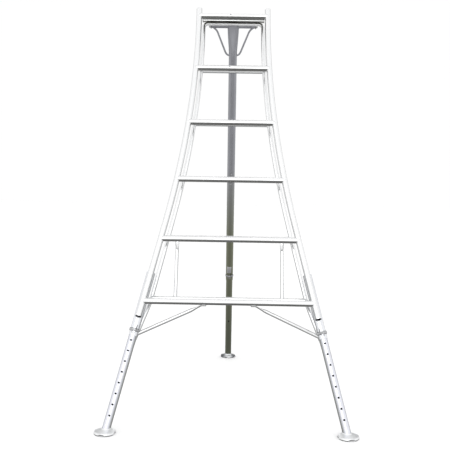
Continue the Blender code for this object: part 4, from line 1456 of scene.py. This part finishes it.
def make_rear_leg():
    welds = Shell()
    shell = Shell()
    wall = DrilledTube(shell, PIVOT, REAR_DOWN, REAR_FACE, REAR_UPPER_RADIUS, REAR_UPPER_BORE, head_shape)
    stations = [HEAD_TAPER * step / 20 for step in range(21)]
    wall.build(-HEAD_OVERRUN, REAR_UPPER_LENGTH, [(REAR_LOCK, 0.0)], PIN_RADIUS + 0.0003, stations)
    piece(shell, "rear_leg_upper_tube", "rear_leg", REAR_FINISH, ("rear_leg_upper",))

    shell = Shell()
    path = straight(PIVOT - ACROSS * CROSS_TUBE_HALF, PIVOT + ACROSS * CROSS_TUBE_HALF, 0.02)
    tube(shell, path, CROSS_TUBE_RADIUS, CROSS_TUBE_BORE, SMALL_SIDES, UP)
    piece(shell, "rear_cross_tube_bar", "rear_leg", REAR_FINISH, ("rear_cross_tube",))
    for side in SIDES.values():
        spot = PIVOT + ACROSS * (side * REAR_UPPER_RADIUS * HEAD_WIDTH * 0.93)
        line = circle(spot, UP, FRAME_BACK, CROSS_TUBE_RADIUS, 32)
        bead(welds, line, WELD)
    make_ties(welds)
    piece(welds, "rear_leg_welds", "rear_leg", REAR_WELD_FINISH)
    make_rear_fittings()

    end = REAR_LENGTH - LEG_END_HEIGHT / -REAR_DOWN.z
    numbers = range(-REAR_HOLES_ABOVE, REAR_HOLES_BELOW + 1)
    holes = [(REAR_LOCK + number * REAR_HOLE_PITCH, 0.0) for number in numbers]
    shell = Shell()
    wall = DrilledTube(shell, PIVOT, REAR_DOWN, REAR_FACE, REAR_LOWER_RADIUS, REAR_LOWER_BORE)
    wall.build(REAR_LOWER_START, end, holes, HOLE_RADIUS)
    nodes = ("rear_leg_lower",)
    piece(shell, "rear_leg_lower_tube", "rear_leg_extension", REAR_FINISH, nodes)
    make_foot("rear", "rear_leg_extension", rear_point(end), REAR_DOWN, REAR_LOWER_RADIUS, REAR_FOOT_FINISH)


def make_ties(welds):
    """Slanting bars from the cross tube to the flanks of the rear leg."""
    for label, side in SIDES.items():
        path = [rear_point(along, side * across) for along, across in TIE_PATH]
        shell = Shell()
        seams = tube(shell, fine(rounded(path, 0.012), 0.01), TIE_RADIUS, None, 24, REAR_FACE,
                     start=(PIVOT, ACROSS, CROSS_TUBE_RADIUS - EMBED))
        bead(welds, seams[0], SMALL_WELD)
        low = TIE_PATH[-1][0]
        wide = REAR_UPPER_RADIUS * head_shape(low)[0]
        spot = rear_point(low, side * (wide - 0.0012))
        line = circle(spot, REAR_DOWN, REAR_FACE, TIE_RADIUS, 24)
        bead(welds, line, SMALL_WELD)
        name = "rear_tie_" + label
        piece(shell, name + "_bar", "rear_leg", REAR_FINISH, (name,))


def tube_face(along, across, radius):
    """Point on the front of the rear leg and the way that it faces."""
    swing = math.asin(across / radius)
    spoke = REAR_FACE * math.cos(swing) + ACROSS * math.sin(swing)
    return rear_point(along) + spoke * radius, spoke


def make_rear_fittings():
    """Rivets up the rear leg and the small riveted plate over its lock."""
    shell = Shell()
    marks = [(along, across, 0.0) for along, across in UPPER_RIVETS]
    marks += [(REAR_LOCK - above, across, REAR_PLATE_THICKNESS) for above, across in LOCK_RIVETS]
    for along, across, lift in marks:
        face, outward = tube_face(along, across, REAR_UPPER_RADIUS + lift)
        rivet(shell, face, outward, RIVET_RADIUS, RIVET_RISE)
    section = band_section(REAR_PLATE_THICKNESS, REAR_PLATE_HEIGHT)
    rings = []
    for step in range(17):
        angle = math.radians(-40.0 + 68.0 * step / 16)
        spoke = REAR_FACE * math.cos(angle) + ACROSS * math.sin(angle)
        made = []
        for out, along in section:
            spot = rear_point(REAR_LOCK - REAR_PLATE_HEIGHT + along)
            point = spot + spoke * (REAR_UPPER_RADIUS + REAR_PLATE_STANDOFF + out)
            made.append(shell.add(point, angle, along, REAR_UPPER_RADIUS))
        rings.append(made)
    for one, other in zip(rings, rings[1:]):
        shell.bridge(one, other)
    shell.fan(rings[0])
    shell.fan(rings[-1])
    piece(shell, "rear_leg_rivets_and_plate", "rear_leg", STEEL_FINISH)


# ---- studio -----------------------------------------------------------------------------------
FLOOR_HALF_SIZE = 60.0
CAMERA_PLACE = Vector((0.0063, -3.7304, 1.0916))
CAMERA_YAW = -0.0092
CAMERA_PITCH = -0.0464
CAMERA_ROLL = 0.0163
CAMERA_LENS = 53.762
SENSOR_WIDTH = 36.0


def grey(value):
    return (value, value, value)


def make_floor():
    mesh = bpy.data.meshes.new("studio_floor")
    signs = ((-1, -1), (1, -1), (1, 1), (-1, 1))
    corners = [(x * FLOOR_HALF_SIZE, y * FLOOR_HALF_SIZE, 0.0) for x, y in signs]
    mesh.from_pydata(corners, [], [(0, 1, 2, 3)])
    paint = Finish("studio_floor_paint", grey(0.95), 0.9, 0.0)
    mesh.materials.append(paint.material)
    floor = bpy.data.objects.new("studio_floor", mesh)
    bpy.context.scene.collection.objects.link(floor)
    floor.visible_glossy = False


def make_world():
    """White surround for the eye and the floor. The metal mirrors a studio with two grey flags behind."""
    world = bpy.data.worlds.new("studio")
    bpy.context.scene.world = world
    world.use_nodes = True
    maker = NodeMaker(world.node_tree)
    way = maker.split(maker.node("TexCoord").outputs["Generated"])
    aside = maker.maths("ABSOLUTE", way["X"], 0.0)
    flag = maker.maths("MULTIPLY", maker.spread(aside, 0.14, 0.28), maker.spread(aside, 0.78, 0.62))
    flag = maker.maths("MULTIPLY", flag, maker.spread(way["Y"], 0.30, 0.60))
    height = maker.spread(way["Z"], -0.75, -0.10)
    studio = maker.mix(flag, maker.mix(height, grey(0.45), grey(0.99)), grey(0.42))
    rays = maker.node("LightPath")
    seen = maker.mix(rays.outputs["Is Glossy Ray"], grey(1.11), studio)
    back = world.node_tree.nodes["Background"]
    maker.link(maker.mix(rays.outputs["Is Camera Ray"], seen, grey(1.005)), back.inputs["Color"])
    back.inputs["Strength"].default_value = 1.0


def make_light(name, place, aim, size, power):
    data = bpy.data.lights.new(name, "AREA")
    data.shape = "RECTANGLE"
    data.size, data.size_y = size
    data.energy = power
    made = bpy.data.objects.new(name, data)
    made.location = place
    made.rotation_euler = (Vector(aim) - Vector(place)).to_track_quat("-Z", "Y").to_euler()
    bpy.context.scene.collection.objects.link(made)


def make_camera():
    """A little above mid height, level with the treads, with the frame's centre in view."""
    yaw, pitch, roll = CAMERA_YAW, CAMERA_PITCH, CAMERA_ROLL
    ahead = Vector((math.sin(yaw) * math.cos(pitch), math.cos(yaw) * math.cos(pitch), math.sin(pitch)))
    right = Vector((math.cos(yaw), -math.sin(yaw), 0.0))
    above = right.cross(ahead)
    tilted = right * math.cos(roll) + above * math.sin(roll)
    upright = above * math.cos(roll) - right * math.sin(roll)
    data = bpy.data.cameras.new("camera")
    data.sensor_width = SENSOR_WIDTH
    data.lens = CAMERA_LENS
    made = bpy.data.objects.new("camera", data)
    turned_to = Matrix((tilted, upright, -ahead)).transposed().to_4x4()
    made.matrix_world = Matrix.Translation(CAMERA_PLACE) @ turned_to
    bpy.context.scene.collection.objects.link(made)
    bpy.context.scene.camera = made


def make_studio():
    make_floor()
    make_world()
    make_light("front_softbox", (-0.8, -6.5, 3.6), (0.0, 0.0, 1.1), (6.0, 3.6), 95.0)
    make_camera()
    bpy.context.scene.view_settings.view_transform = "Standard"


def main():
    welds = Shell()
    make_stiles()
    make_rear_hoop(welds)
    make_rungs(welds)
    make_rung_rivets()
    make_struts(welds)
    make_braces(welds)
    make_platform(welds)
    make_sleeves(welds)
    make_lugs(welds)
    piece(welds, "frame_welds", "front_frame", WELD_FINISH, (), 60.0)
    make_front_legs()
    make_front_locks()
    make_pivot()
    make_rear_leg()
    make_lock("rear", "lock_rear", rear_point(REAR_LOCK), REAR_FACE, REAR_DOWN, REAR_UPPER_RADIUS, -1.0)
    make_studio()


main()
